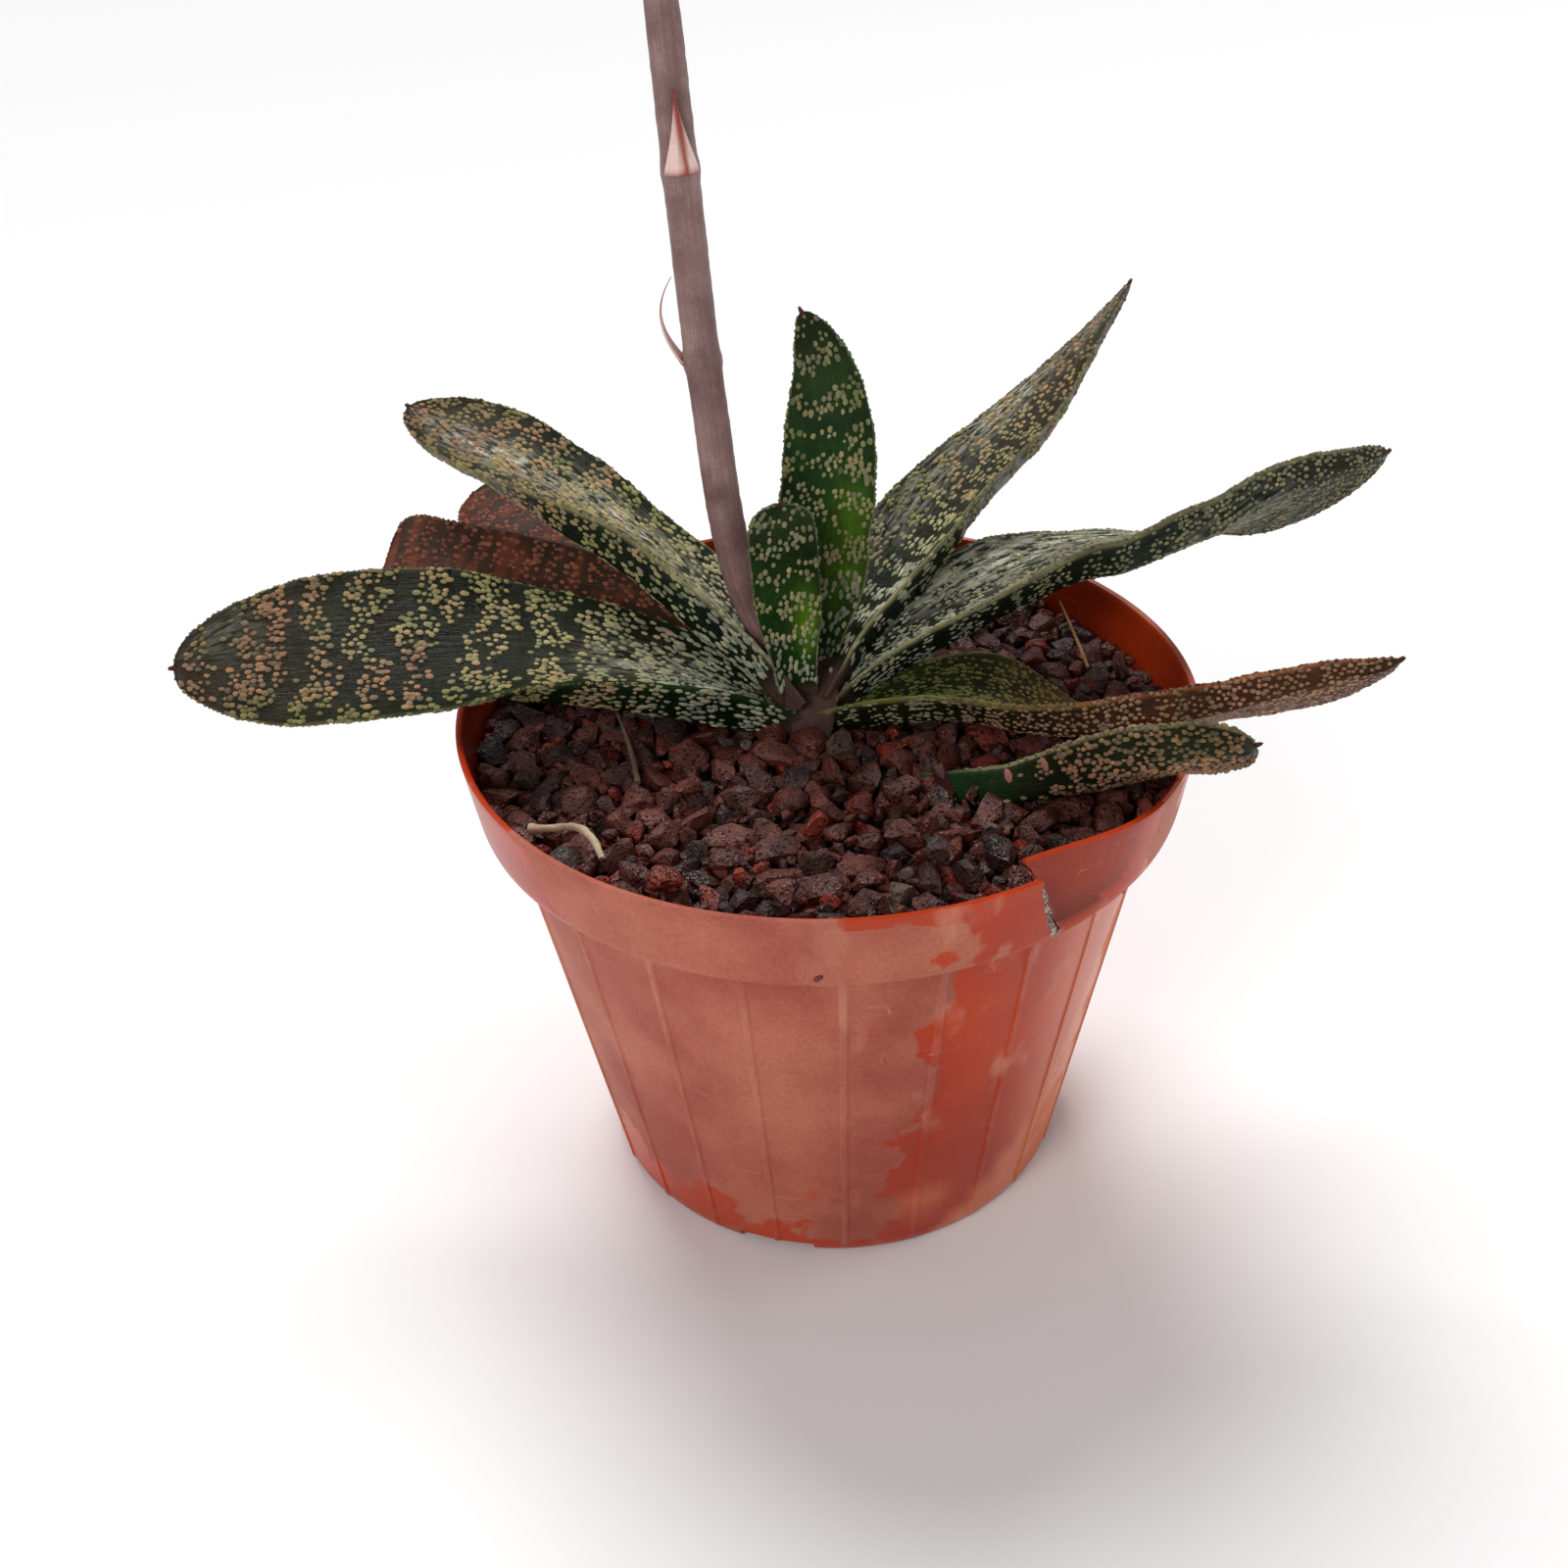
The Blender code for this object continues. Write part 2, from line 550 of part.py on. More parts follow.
def build_bud(index, material):
    """A nodding flower bud on its short stem, clear of the stalk by the gap."""
    share = 0.80 + 0.19 * index / (BUD_COUNT - 1)
    place, direction = spline(STALK_ROUTE, share)
    turn = math.radians(137.5 * index)
    away = Vector((math.cos(turn), math.sin(turn), 0.0))
    away = (away - direction * direction.dot(away)).normalized()
    size = 1.0 - 0.5 * index / (BUD_COUNT - 1)
    start = place + away * (stalk_radius(share) + GAP)
    drop = Vector((0.0, 0.0, -1.0))
    route = [start, start + away * 3.0 * MM * size + direction * 1.5 * MM * size,
             start + away * 6.0 * MM * size, start + away * 8.0 * MM * size + drop * BUD_LENGTH * size]

    def radius(s):
        if s < 0.4:
            return 0.7 * MM * size
        swell = math.sin(math.pi * min(1.0, (s - 0.35) / 0.65) * 0.92)
        return (0.7 * MM + (BUD_RADIUS - 0.7 * MM) * max(0.0, swell)) * size

    return tube(f"flower_bud_{index + 1}", route, radius, 6, 9, material)


# ---------------------------------------------------------------- loose stones and dry bits
def build_stone(index, place, size, material):
    """A small angular stone that sits on the gravel."""
    rng = random.Random(40 + index)
    data = bmesh.new()
    bmesh.ops.create_icosphere(data, subdivisions=2, radius=1.0)
    stretch = Vector((rng.uniform(0.8, 1.2), rng.uniform(0.75, 1.1), rng.uniform(0.6, 0.85)))
    for vert in data.verts:
        vert.co = Vector(a * b for a, b in zip(vert.co, stretch)) * size * rng.uniform(0.85, 1.05)
    data.transform(Matrix.Rotation(rng.uniform(0.0, 6.2), 4, "Z"))
    low = min(vert.co.z for vert in data.verts)
    data.transform(Matrix.Translation(Vector((place.x, place.y, place.z - low + GAP))))
    return add_object(f"lava_stone_{index + 1}", data, material, smooth=20.0)


STONE_PLACES = [(-0.42, -0.74, 3.6), (-0.12, -0.82, 3.9), (0.28, -0.66, 3.4), (-0.38, -0.36, 3.2),
                (0.45, 0.55, 3.8), (0.62, 0.30, 3.3), (-0.30, 0.72, 3.5), (0.12, 0.80, 3.2),
                (-0.04, -0.55, 3.0), (0.18, -0.40, 3.1)]


def gravel_point(x_share, y_share, lift=0.0):
    """A point on the gravel's surface, from shares of its radius."""
    edge = inner_radius(GRAVEL_LEVEL)
    x, y = x_share * edge, y_share * edge
    return Vector((x, y, gravel_height(math.hypot(x, y)) + lift))


def build_bits(straw, twig, dead_leaf):
    """Dry litter lying on the gravel."""
    lift = 1.6 * MM
    curl = [gravel_point(-0.79, -0.49, lift), gravel_point(-0.72, -0.50, lift + 0.6 * MM),
            gravel_point(-0.66, -0.52, lift + 0.8 * MM), gravel_point(-0.61, -0.56, lift),
            gravel_point(-0.60, -0.63, lift)]
    tube("curled_twig", curl, lambda s: 0.75 * MM, 6, 12, twig)
    tube("straw", [gravel_point(0.78, 0.30, 1.0 * MM), gravel_point(0.75, 0.40, 4.0 * MM),
                   gravel_point(0.72, 0.48, 8.0 * MM)], lambda s: 0.45 * MM, 5, 6, straw)
    tube("dry_stem", [gravel_point(-0.53, -0.28, 1.0 * MM), gravel_point(-0.57, -0.12, 2.5 * MM),
                      gravel_point(-0.61, -0.02, 5.5 * MM)], lambda s: 0.5 * MM, 5, 6, twig)
    strip = []
    for n in range(8):
        s = n / 7.0
        x, y = 0.44 + 0.36 * s, -0.03 - 0.13 * s
        centre = gravel_point(x, y, 1.4 * MM + 1.5 * MM * math.sin(3.0 * s))
        half = (2.2 - 1.4 * s) * MM
        thick = 0.5 * MM
        strip.append([centre + Vector((0.0, half, 0.0)), centre + Vector((0.0, 0.0, -0.6 * MM)),
                      centre + Vector((0.0, -half, 0.0)), centre + Vector((0.0, -half, thick)),
                      centre + Vector((0.0, 0.0, thick - 0.6 * MM)), centre + Vector((0.0, half, thick))])
    loft("dried_leaf", strip, dead_leaf)


def build():
    """Build every piece and cut the clearances between them."""
    clear_scene()
    terracotta = make_material("terracotta_plastic", (0.50, 0.10, 0.035, 1.0), 0.45)
    lava = make_material("lava_stone", (0.10, 0.03, 0.02, 1.0), 0.7)
    soil = make_material("potting_mix", (0.04, 0.02, 0.012, 1.0), 0.9)
    root = make_material("root", (0.35, 0.26, 0.15, 1.0), 0.8)
    stalk_skin = make_material("stalk", (0.16, 0.075, 0.065, 1.0), 0.6)
    bract_skin = make_material("bract", (0.62, 0.36, 0.30, 1.0), 0.6)
    bud_skin = make_material("flower_bud", (0.62, 0.20, 0.16, 1.0), 0.5)
    straw = make_material("straw", (0.45, 0.26, 0.10, 1.0), 0.7)
    twig = make_material("pale_twig", (0.55, 0.47, 0.36, 1.0), 0.8)
    dead_leaf = make_material("dried_leaf", (0.12, 0.06, 0.03, 1.0), 0.8)
    skins = {}
    for leaf in LEAVES:
        key = tuple(leaf.green)
        if key not in skins:
            skins[key] = make_material(f"leaf_skin_{len(skins) + 1}", leaf.green, 0.35)

    build_pot(terracotta)
    gravel = build_gravel(lava)
    mix = build_mix(soil)
    build_rootstock("rootstock", root)
    stock_cutter = hide_cutter(build_rootstock("clear_rootstock", None, GAP))
    cut(mix, stock_cutter)
    cut(gravel, build_crown_hollow())

    tube("flower_stalk", STALK_ROUTE, stalk_radius, 12, 18, stalk_skin)
    stalk_cutter = hide_cutter(tube("clear_stalk", STALK_ROUTE, stalk_radius, 12, 18, None, 2.0 * GAP))
    build_bract("bract_upper", 0.545, -95.0, 13.0 * MM, 1.0 * MM, bract_skin)
    build_bract("bract_lower", 0.36, 175.0, 15.0 * MM, 3.5 * MM, bract_skin)
    for n in range(BUD_COUNT):
        build_bud(n, bud_skin)

    clearances = {leaf.name: build_leaf_cutter(leaf) for leaf in LEAVES}
    for leaf in LEAVES:
        item = build_leaf(leaf, skins[tuple(leaf.green)])
        cut(item, stock_cutter)
        cut(item, stalk_cutter)
        for name in leaf.pressed_by:
            cut(item, clearances[name])
    cut(gravel, clearances["leaf_offset"])

    for n, (x, y, size) in enumerate(STONE_PLACES):
        build_stone(n, gravel_point(x, y, 0.5 * MM), size * MM, lava)
    build_bits(straw, twig, dead_leaf)


build()
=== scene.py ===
"""Looks of a potted gasteria: cracked nursery pot, lava gravel, warty leaves and a flower stalk.

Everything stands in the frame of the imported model, in metres. The pot's underside is at zero,
+X is to the right and -Y is the front. Sizes inside the classes are in millimetres.
"""

from __future__ import annotations

import json
import logging
import math
import random
from dataclasses import dataclass
from enum import Enum
from typing import Callable, Iterable, Sequence

import bmesh
import bpy
import numpy as np
from mathutils import Matrix, Vector, noise

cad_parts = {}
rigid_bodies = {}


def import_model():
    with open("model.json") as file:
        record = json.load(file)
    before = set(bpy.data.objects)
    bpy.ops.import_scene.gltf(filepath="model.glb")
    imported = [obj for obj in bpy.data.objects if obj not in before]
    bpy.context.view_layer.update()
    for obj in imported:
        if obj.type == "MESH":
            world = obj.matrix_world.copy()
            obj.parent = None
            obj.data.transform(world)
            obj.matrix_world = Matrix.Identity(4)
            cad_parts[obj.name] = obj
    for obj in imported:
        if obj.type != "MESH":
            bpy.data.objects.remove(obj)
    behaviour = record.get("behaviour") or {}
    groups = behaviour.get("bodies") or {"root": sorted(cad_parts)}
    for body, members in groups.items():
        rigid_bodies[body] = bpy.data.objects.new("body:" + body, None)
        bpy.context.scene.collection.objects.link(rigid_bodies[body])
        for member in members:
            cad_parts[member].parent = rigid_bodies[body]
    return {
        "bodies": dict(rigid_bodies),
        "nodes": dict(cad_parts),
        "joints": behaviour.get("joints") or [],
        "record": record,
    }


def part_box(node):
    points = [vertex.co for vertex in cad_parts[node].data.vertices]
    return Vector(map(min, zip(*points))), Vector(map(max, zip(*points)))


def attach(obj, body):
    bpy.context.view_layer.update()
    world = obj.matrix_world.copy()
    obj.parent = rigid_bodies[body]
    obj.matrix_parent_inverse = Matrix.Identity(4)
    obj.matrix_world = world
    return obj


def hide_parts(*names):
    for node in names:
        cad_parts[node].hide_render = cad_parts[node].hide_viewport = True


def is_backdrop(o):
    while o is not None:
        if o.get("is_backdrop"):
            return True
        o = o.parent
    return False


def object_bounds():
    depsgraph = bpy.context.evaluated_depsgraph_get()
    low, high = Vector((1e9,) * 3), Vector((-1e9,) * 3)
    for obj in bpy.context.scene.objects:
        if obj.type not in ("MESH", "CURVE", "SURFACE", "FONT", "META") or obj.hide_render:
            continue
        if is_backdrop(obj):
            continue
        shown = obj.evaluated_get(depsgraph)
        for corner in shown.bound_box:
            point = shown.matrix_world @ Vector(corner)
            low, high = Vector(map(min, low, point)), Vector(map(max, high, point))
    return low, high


LOG = logging.getLogger("gasteria")
MM = 0.001
Pairs = Sequence[tuple[float, float]]
Colour = tuple[float, float, float]


def linear(red: float, green: float, blue: float) -> Colour:
    """Turn a colour as seen on a screen, 0 to 1, into a linear one.

    Args:
        red: Red share.
        green: Green share.
        blue: Blue share.

    Returns:
        The linear colour.
    """
    return tuple(c / 12.92 if c <= 0.04045 else ((c + 0.055) / 1.055) ** 2.4 for c in (red, green, blue))


def smooth_step(low: float, high: float, value: np.ndarray | float) -> np.ndarray:
    """Ease from 0 to 1 between two values."""
    share = np.clip((np.asarray(value, dtype=float) - low) / (high - low), 0.0, 1.0)
    return share * share * (3.0 - 2.0 * share)


def eased(pairs: Pairs, shares: np.ndarray) -> np.ndarray:
    """Read a profile given as (share, value) pairs.

    Args:
        pairs: The profile's pairs, in order.
        shares: Where it is read.

    Returns:
        The eased values.
    """
    keys = np.array([pair[0] for pair in pairs], dtype=float)
    values = np.array([pair[1] for pair in pairs], dtype=float)
    place = np.clip(np.searchsorted(keys, shares) - 1, 0, len(keys) - 2)
    step = np.clip((shares - keys[place]) / (keys[place + 1] - keys[place]), 0.0, 1.0)
    step = step * step * (3.0 - 2.0 * step)
    return values[place] * (1.0 - step) + values[place + 1] * step


def ripple(points: np.ndarray, scale: float, seed: float = 0.0) -> np.ndarray:
    """Smooth noise from -1 to 1 at many points.

    Args:
        points: Array of three-part points.
        scale: How many waves fit one unit.
        seed: Moves the pattern.

    Returns:
        One value per point.
    """
    shift = Vector((seed * 7.13, seed * 3.71, seed * 5.39))
    return np.array([noise.noise(Vector(point) * scale + shift) for point in points])


class Route:
    """A smooth curve through given points."""

    def __init__(self, points: Sequence[Sequence[float]]) -> None:
        """Work out the slopes at the points.

        Args:
            points: At least three points, in order.
        """
        self.points = np.array(points, dtype=float)
        spans = np.linalg.norm(np.diff(self.points, axis=0), axis=1)
        self.length = float(spans.sum())
        self.knots = np.concatenate([[0.0], np.cumsum(spans)]) / self.length
        rise = np.diff(self.points, axis=0) / np.diff(self.knots)[:, None]
        step = np.diff(self.knots)[:, None]
        inner = (rise[:-1] * step[1:] + rise[1:] * step[:-1]) / (step[:-1] + step[1:])
        self.slopes = np.vstack([2.0 * rise[:1] - inner[:1], inner, 2.0 * rise[-1:] - inner[-1:]])

    def at(self, shares: np.ndarray) -> tuple[np.ndarray, np.ndarray]:
        """Places and unit directions on the curve; shares under 0 run straight back from its start.

        Args:
            shares: Shares of the length.

        Returns:
            The places and the directions.
        """
        inside = np.clip(shares, 0.0, 1.0)
        i = np.clip(np.searchsorted(self.knots, inside) - 1, 0, len(self.knots) - 2)
        span = (self.knots[i + 1] - self.knots[i])[:, None]
        t = (inside - self.knots[i])[:, None] / span
        a, b, ma, mb = self.points[i], self.points[i + 1], self.slopes[i] * span, self.slopes[i + 1] * span
        place = (a * (2 * t**3 - 3 * t**2 + 1) + ma * (t**3 - 2 * t**2 + t)
                 + b * (3 * t**2 - 2 * t**3) + mb * (t**3 - t**2))
        slope = (a * (6 * t**2 - 6 * t) + ma * (3 * t**2 - 4 * t + 1)
                 + b * (6 * t - 6 * t**2) + mb * (3 * t**2 - 2 * t)) / span
        direction = slope / np.linalg.norm(slope, axis=1)[:, None]
        beyond = (np.asarray(shares) - inside)[:, None] * self.length
        return place + direction * beyond, direction


# ------------------------------------------------------------------------------- bench work
class Bench:
    """The modelling steps that every piece shares."""

    @staticmethod
    def clear() -> None:
        """Leave edit mode's choices behind: nothing is selected."""
        bpy.ops.object.select_all(action="DESELECT")

    @staticmethod
    def hold(item: bpy.types.Object, *others: bpy.types.Object) -> None:
        """Select pieces and make the first the active one.

        Args:
            item: The active piece.
            others: More pieces to select.
        """
        Bench.clear()
        for each in (item, *others):
            each.select_set(True)
        bpy.context.view_layer.objects.active = item

    @staticmethod
    def edit(item: bpy.types.Object, *steps: Callable[[], object]) -> None:
        """Run edit-mode steps on a whole piece.

        Args:
            item: The piece.
            steps: Calls made with everything selected.
        """
        Bench.hold(item)
        bpy.ops.object.mode_set(mode="EDIT")
        bpy.ops.mesh.select_all(action="SELECT")
        for step in steps:
            step()
        bpy.ops.object.mode_set(mode="OBJECT")

    @staticmethod
    def named(name: str) -> bpy.types.Object:
        """Name the piece just added and return it."""
        item = bpy.context.active_object
        item.name = item.data.name = name
        return item

    @staticmethod
    def wrapped(name: str, rings: np.ndarray, closed: bool = True, capped: bool = True) -> bpy.types.Object:
        """Lay a grid over rings of points, close its seam and cap its ends.

        Args:
            name: The piece's name.
            rings: Array of rings by points by three, in metres.
            closed: Whether each ring closes on itself.
            capped: Whether the open ends are filled.

        Returns:
            The piece, with a UV map that runs round it and along it.
        """
        if closed:
            rings = np.concatenate([rings, rings[:, :1]], axis=1)
        rows, columns = rings.shape[:2]
        Bench.clear()
        bpy.ops.mesh.primitive_grid_add(x_subdivisions=columns - 1, y_subdivisions=rows - 1, size=1.0)
        item = Bench.named(name)
        item.data.vertices.foreach_set("co", rings.reshape(-1).astype(np.float32))
        item.data.update()
        steps: list[Callable[[], object]] = [lambda: bpy.ops.mesh.remove_doubles(threshold=1e-6)]
        if capped:
            steps.append(lambda: bpy.ops.mesh.fill_holes(sides=0))
        steps.append(lambda: bpy.ops.mesh.select_all(action="SELECT"))
        steps.append(lambda: bpy.ops.mesh.normals_make_consistent(inside=False))
        Bench.edit(item, *steps)
        return item

    @staticmethod
    def smooth(item: bpy.types.Object, degrees: float = 40.0) -> None:
        """Shade a piece smooth, sharp over an angle."""
        Bench.hold(item)
        bpy.ops.object.shade_smooth_by_angle(angle=math.radians(degrees))

    @staticmethod
    def applied(item: bpy.types.Object) -> None:
        """Apply all of a piece's modifiers."""
        Bench.hold(item)
        for modifier in list(item.modifiers):
            bpy.ops.object.modifier_apply(modifier=modifier.name)

    @staticmethod
    def joined(name: str, items: Sequence[bpy.types.Object]) -> bpy.types.Object:
        """Join pieces into one.

        Args:
            name: The joined piece's name.
            items: The pieces; the first one takes in the rest.

        Returns:
            The joined piece.
        """
        Bench.hold(items[0], *items[1:])
        if len(items) > 1:
            bpy.ops.object.join()
        return Bench.named(name)

    @staticmethod
    def points(item: bpy.types.Object) -> np.ndarray:
        """Return a piece's points as an array."""
        flat = np.empty(len(item.data.vertices) * 3, dtype=np.float32)
        item.data.vertices.foreach_get("co", flat)
        return flat.reshape(-1, 3).astype(float)

    @staticmethod
    def moved(item: bpy.types.Object, places: np.ndarray) -> None:
        """Put a piece's points at new places."""
        item.data.vertices.foreach_set("co", places.reshape(-1).astype(np.float32))
        item.data.update()

    @staticmethod
    def number(item: bpy.types.Object, name: str, values: np.ndarray) -> None:
        """Store one number per point under a name.

        Args:
            item: The piece.
            name: The attribute's name.
            values: One number per point.
        """
        layer = item.data.attributes.get(name) or item.data.attributes.new(name, "FLOAT", "POINT")
        layer.data.foreach_set("value", np.asarray(values, dtype=np.float32))

    @staticmethod
    def tint(item: bpy.types.Object, name: str, colours: np.ndarray) -> None:
        """Store one colour per point under a name.

        Args:
            item: The piece.
            name: The attribute's name.
            colours: Array of points by three.
        """
        layer = item.data.attributes.get(name) or item.data.attributes.new(name, "FLOAT_COLOR", "POINT")
        full = np.ones((len(colours), 4), dtype=np.float32)
        full[:, :3] = colours
        layer.data.foreach_set("color", full.reshape(-1))

    @staticmethod
    def copies(name: str, model: tuple[np.ndarray, list[list[int]]], places: np.ndarray, frames: np.ndarray,
               sizes: np.ndarray) -> bpy.types.Object:
        """Repeat one small model many times in one mesh.

        Args:
            name: The piece's name.
            model: The model's points and faces.
            places: Where each copy stands.
            frames: Each copy's three axes, as rows.
            sizes: Each copy's size along its axes.

        Returns:
            The piece.
        """
        points, faces = model
        spread = points[None, :, :] * sizes[:, None, :]
        world = np.einsum("npk,nkc->npc", spread, frames) + places[:, None, :]
        count = len(points)
        every = [[index + count * n for index in face] for n in range(len(places)) for face in faces]
        mesh = bpy.data.meshes.new(name)
        mesh.from_pydata(world.reshape(-1, 3).tolist(), [], every)
        mesh.uv_layers.new(name="UVMap")
        item = bpy.data.objects.new(name, mesh)
        bpy.context.scene.collection.objects.link(item)
        return item


# ------------------------------------------------------------------------------- finishes
class Recipe:
    """A procedural material while it is being mixed."""

    def __init__(self, name: str) -> None:
        """Start a material with a plain shader.

        Args:
            name: The material's name.
        """
        self.material = bpy.data.materials.new(name)
        self.material.use_nodes = True
        self.tree = self.material.node_tree
        self.shader = self.tree.nodes["Principled BSDF"]
        self.place = self.tree.nodes.new("ShaderNodeTexCoord").outputs["Object"]

    def add(self, kind: str, **values: object) -> bpy.types.Node:
        """Add a node and set its sockets or settings by name.

        Args:
            kind: The node's type, without its common first word.
            values: Settings, or sockets written with underscores.

        Returns:
            The node.
        """
        node = self.tree.nodes.new("ShaderNode" + kind)
        for key, value in values.items():
            if hasattr(node, key):
                setattr(node, key, value)
            else:
                self.feed(node.inputs[key.replace("_", " ")], value)
        return node

    def feed(self, socket: bpy.types.NodeSocket, value: object) -> None:
        """Link a socket's output into another socket, or set its value."""
        if isinstance(value, bpy.types.NodeSocket):
            self.tree.links.new(value, socket)
        elif isinstance(value, tuple) and len(value) == 3 and socket.type == "RGBA":
            socket.default_value = (*value, 1.0)
        else:
            socket.default_value = value

    def number(self, name: str) -> bpy.types.NodeSocket:
        """Read a stored number."""
        return self.add("Attribute", attribute_name=name).outputs["Fac"]

    def colour(self, name: str) -> bpy.types.NodeSocket:
        """Read a stored colour."""
        return self.add("Attribute", attribute_name=name).outputs["Color"]

    def spread(self, scale: tuple[float, float, float], source: bpy.types.NodeSocket | None = None
               ) -> bpy.types.NodeSocket:
        """Stretch the pattern's coordinates.

        Args:
            scale: Stretch along each axis.
            source: Coordinates to stretch, the object's own if none.

        Returns:
            The stretched coordinates.
        """
        return self.add("Mapping", Vector=source or self.place, Scale=scale).outputs["Vector"]

    def round_and_along(self) -> bpy.types.NodeSocket:
        """Read the piece's own map, which runs round it and along it."""
        return self.add("UVMap", uv_map="UVMap").outputs["UV"]

    def noise(self, scale: float, detail: float = 3.0, source: bpy.types.NodeSocket | None = None,
              rough: float = 0.55) -> bpy.types.NodeSocket:
        """Add a noise pattern and return its value.

        Args:
            scale: Waves per metre.
            detail: How many finer layers.
            source: Coordinates, the object's own if none.
            rough: Strength of the finer layers.

        Returns:
            A value round 0.5.
        """
        return self.add("TexNoise", Vector=source or self.place, Scale=scale, Detail=detail,
                        Roughness=rough).outputs["Fac"]

    def ranged(self, value: bpy.types.NodeSocket, low: float, high: float, to_low: float = 0.0,
               to_high: float = 1.0) -> bpy.types.NodeSocket:
        """Map a value's range to another, eased and clamped.

        Args:
            value: The value.
            low: Where the range starts.
            high: Where it ends.
            to_low: Result at the start.
            to_high: Result at the end.

        Returns:
            The mapped value.
        """
        node = self.add("MapRange", interpolation_type="SMOOTHSTEP")
        self.feed(node.inputs["Value"], value)
        for key, number in (("From Min", low), ("From Max", high), ("To Min", to_low), ("To Max", to_high)):
            node.inputs[key].default_value = number
        return node.outputs["Result"]

    def sum(self, kind: str, first: object, second: object) -> bpy.types.NodeSocket:
        """Combine two numbers with a named operation."""
        node = self.add("Math", operation=kind)
        self.feed(node.inputs[0], first)
        self.feed(node.inputs[1], second)
        return node.outputs[0]

    def mixed(self, share: object, first: object, second: object, kind: str = "MIX") -> bpy.types.NodeSocket:
        """Mix two colours.

        Args:
            share: How much of the second.
            first: The first colour.
            second: The second colour.
            kind: How they are mixed.

        Returns:
            The mixed colour.
        """
        node = self.add("Mix", data_type="RGBA", blend_type=kind)
        self.feed(node.inputs[0], share)
        self.feed(node.inputs[6], first)
        self.feed(node.inputs[7], second)
        return node.outputs[2]

    def group(self, tree: bpy.types.NodeTree, **values: object) -> bpy.types.Node:
        """Place a shared effect.

        Args:
            tree: The effect's node group.
            values: Its inputs, with underscores for spaces.

        Returns:
            The placed group.
        """
        node = self.tree.nodes.new("ShaderNodeGroup")
        node.node_tree = tree
        for key, value in values.items():
            self.feed(node.inputs[key.replace("_", " ")], value)
        return node

    def bumped(self, height: bpy.types.NodeSocket, depth: float, strength: float = 1.0) -> None:
        """Send a height to the shader's normal.

        Args:
            height: The height pattern.
            depth: Its depth in metres.
            strength: Its strength.
        """
        bump = self.add("Bump", Strength=strength, Distance=depth, Height=height)
        self.feed(self.shader.inputs["Normal"], bump.outputs["Normal"])

    def set(self, **values: object) -> "Recipe":
        """Set or link the shader's own sockets, with underscores for spaces."""
        for key, value in values.items():
            self.feed(self.shader.inputs[key.replace("_", " ")], value)
        return self


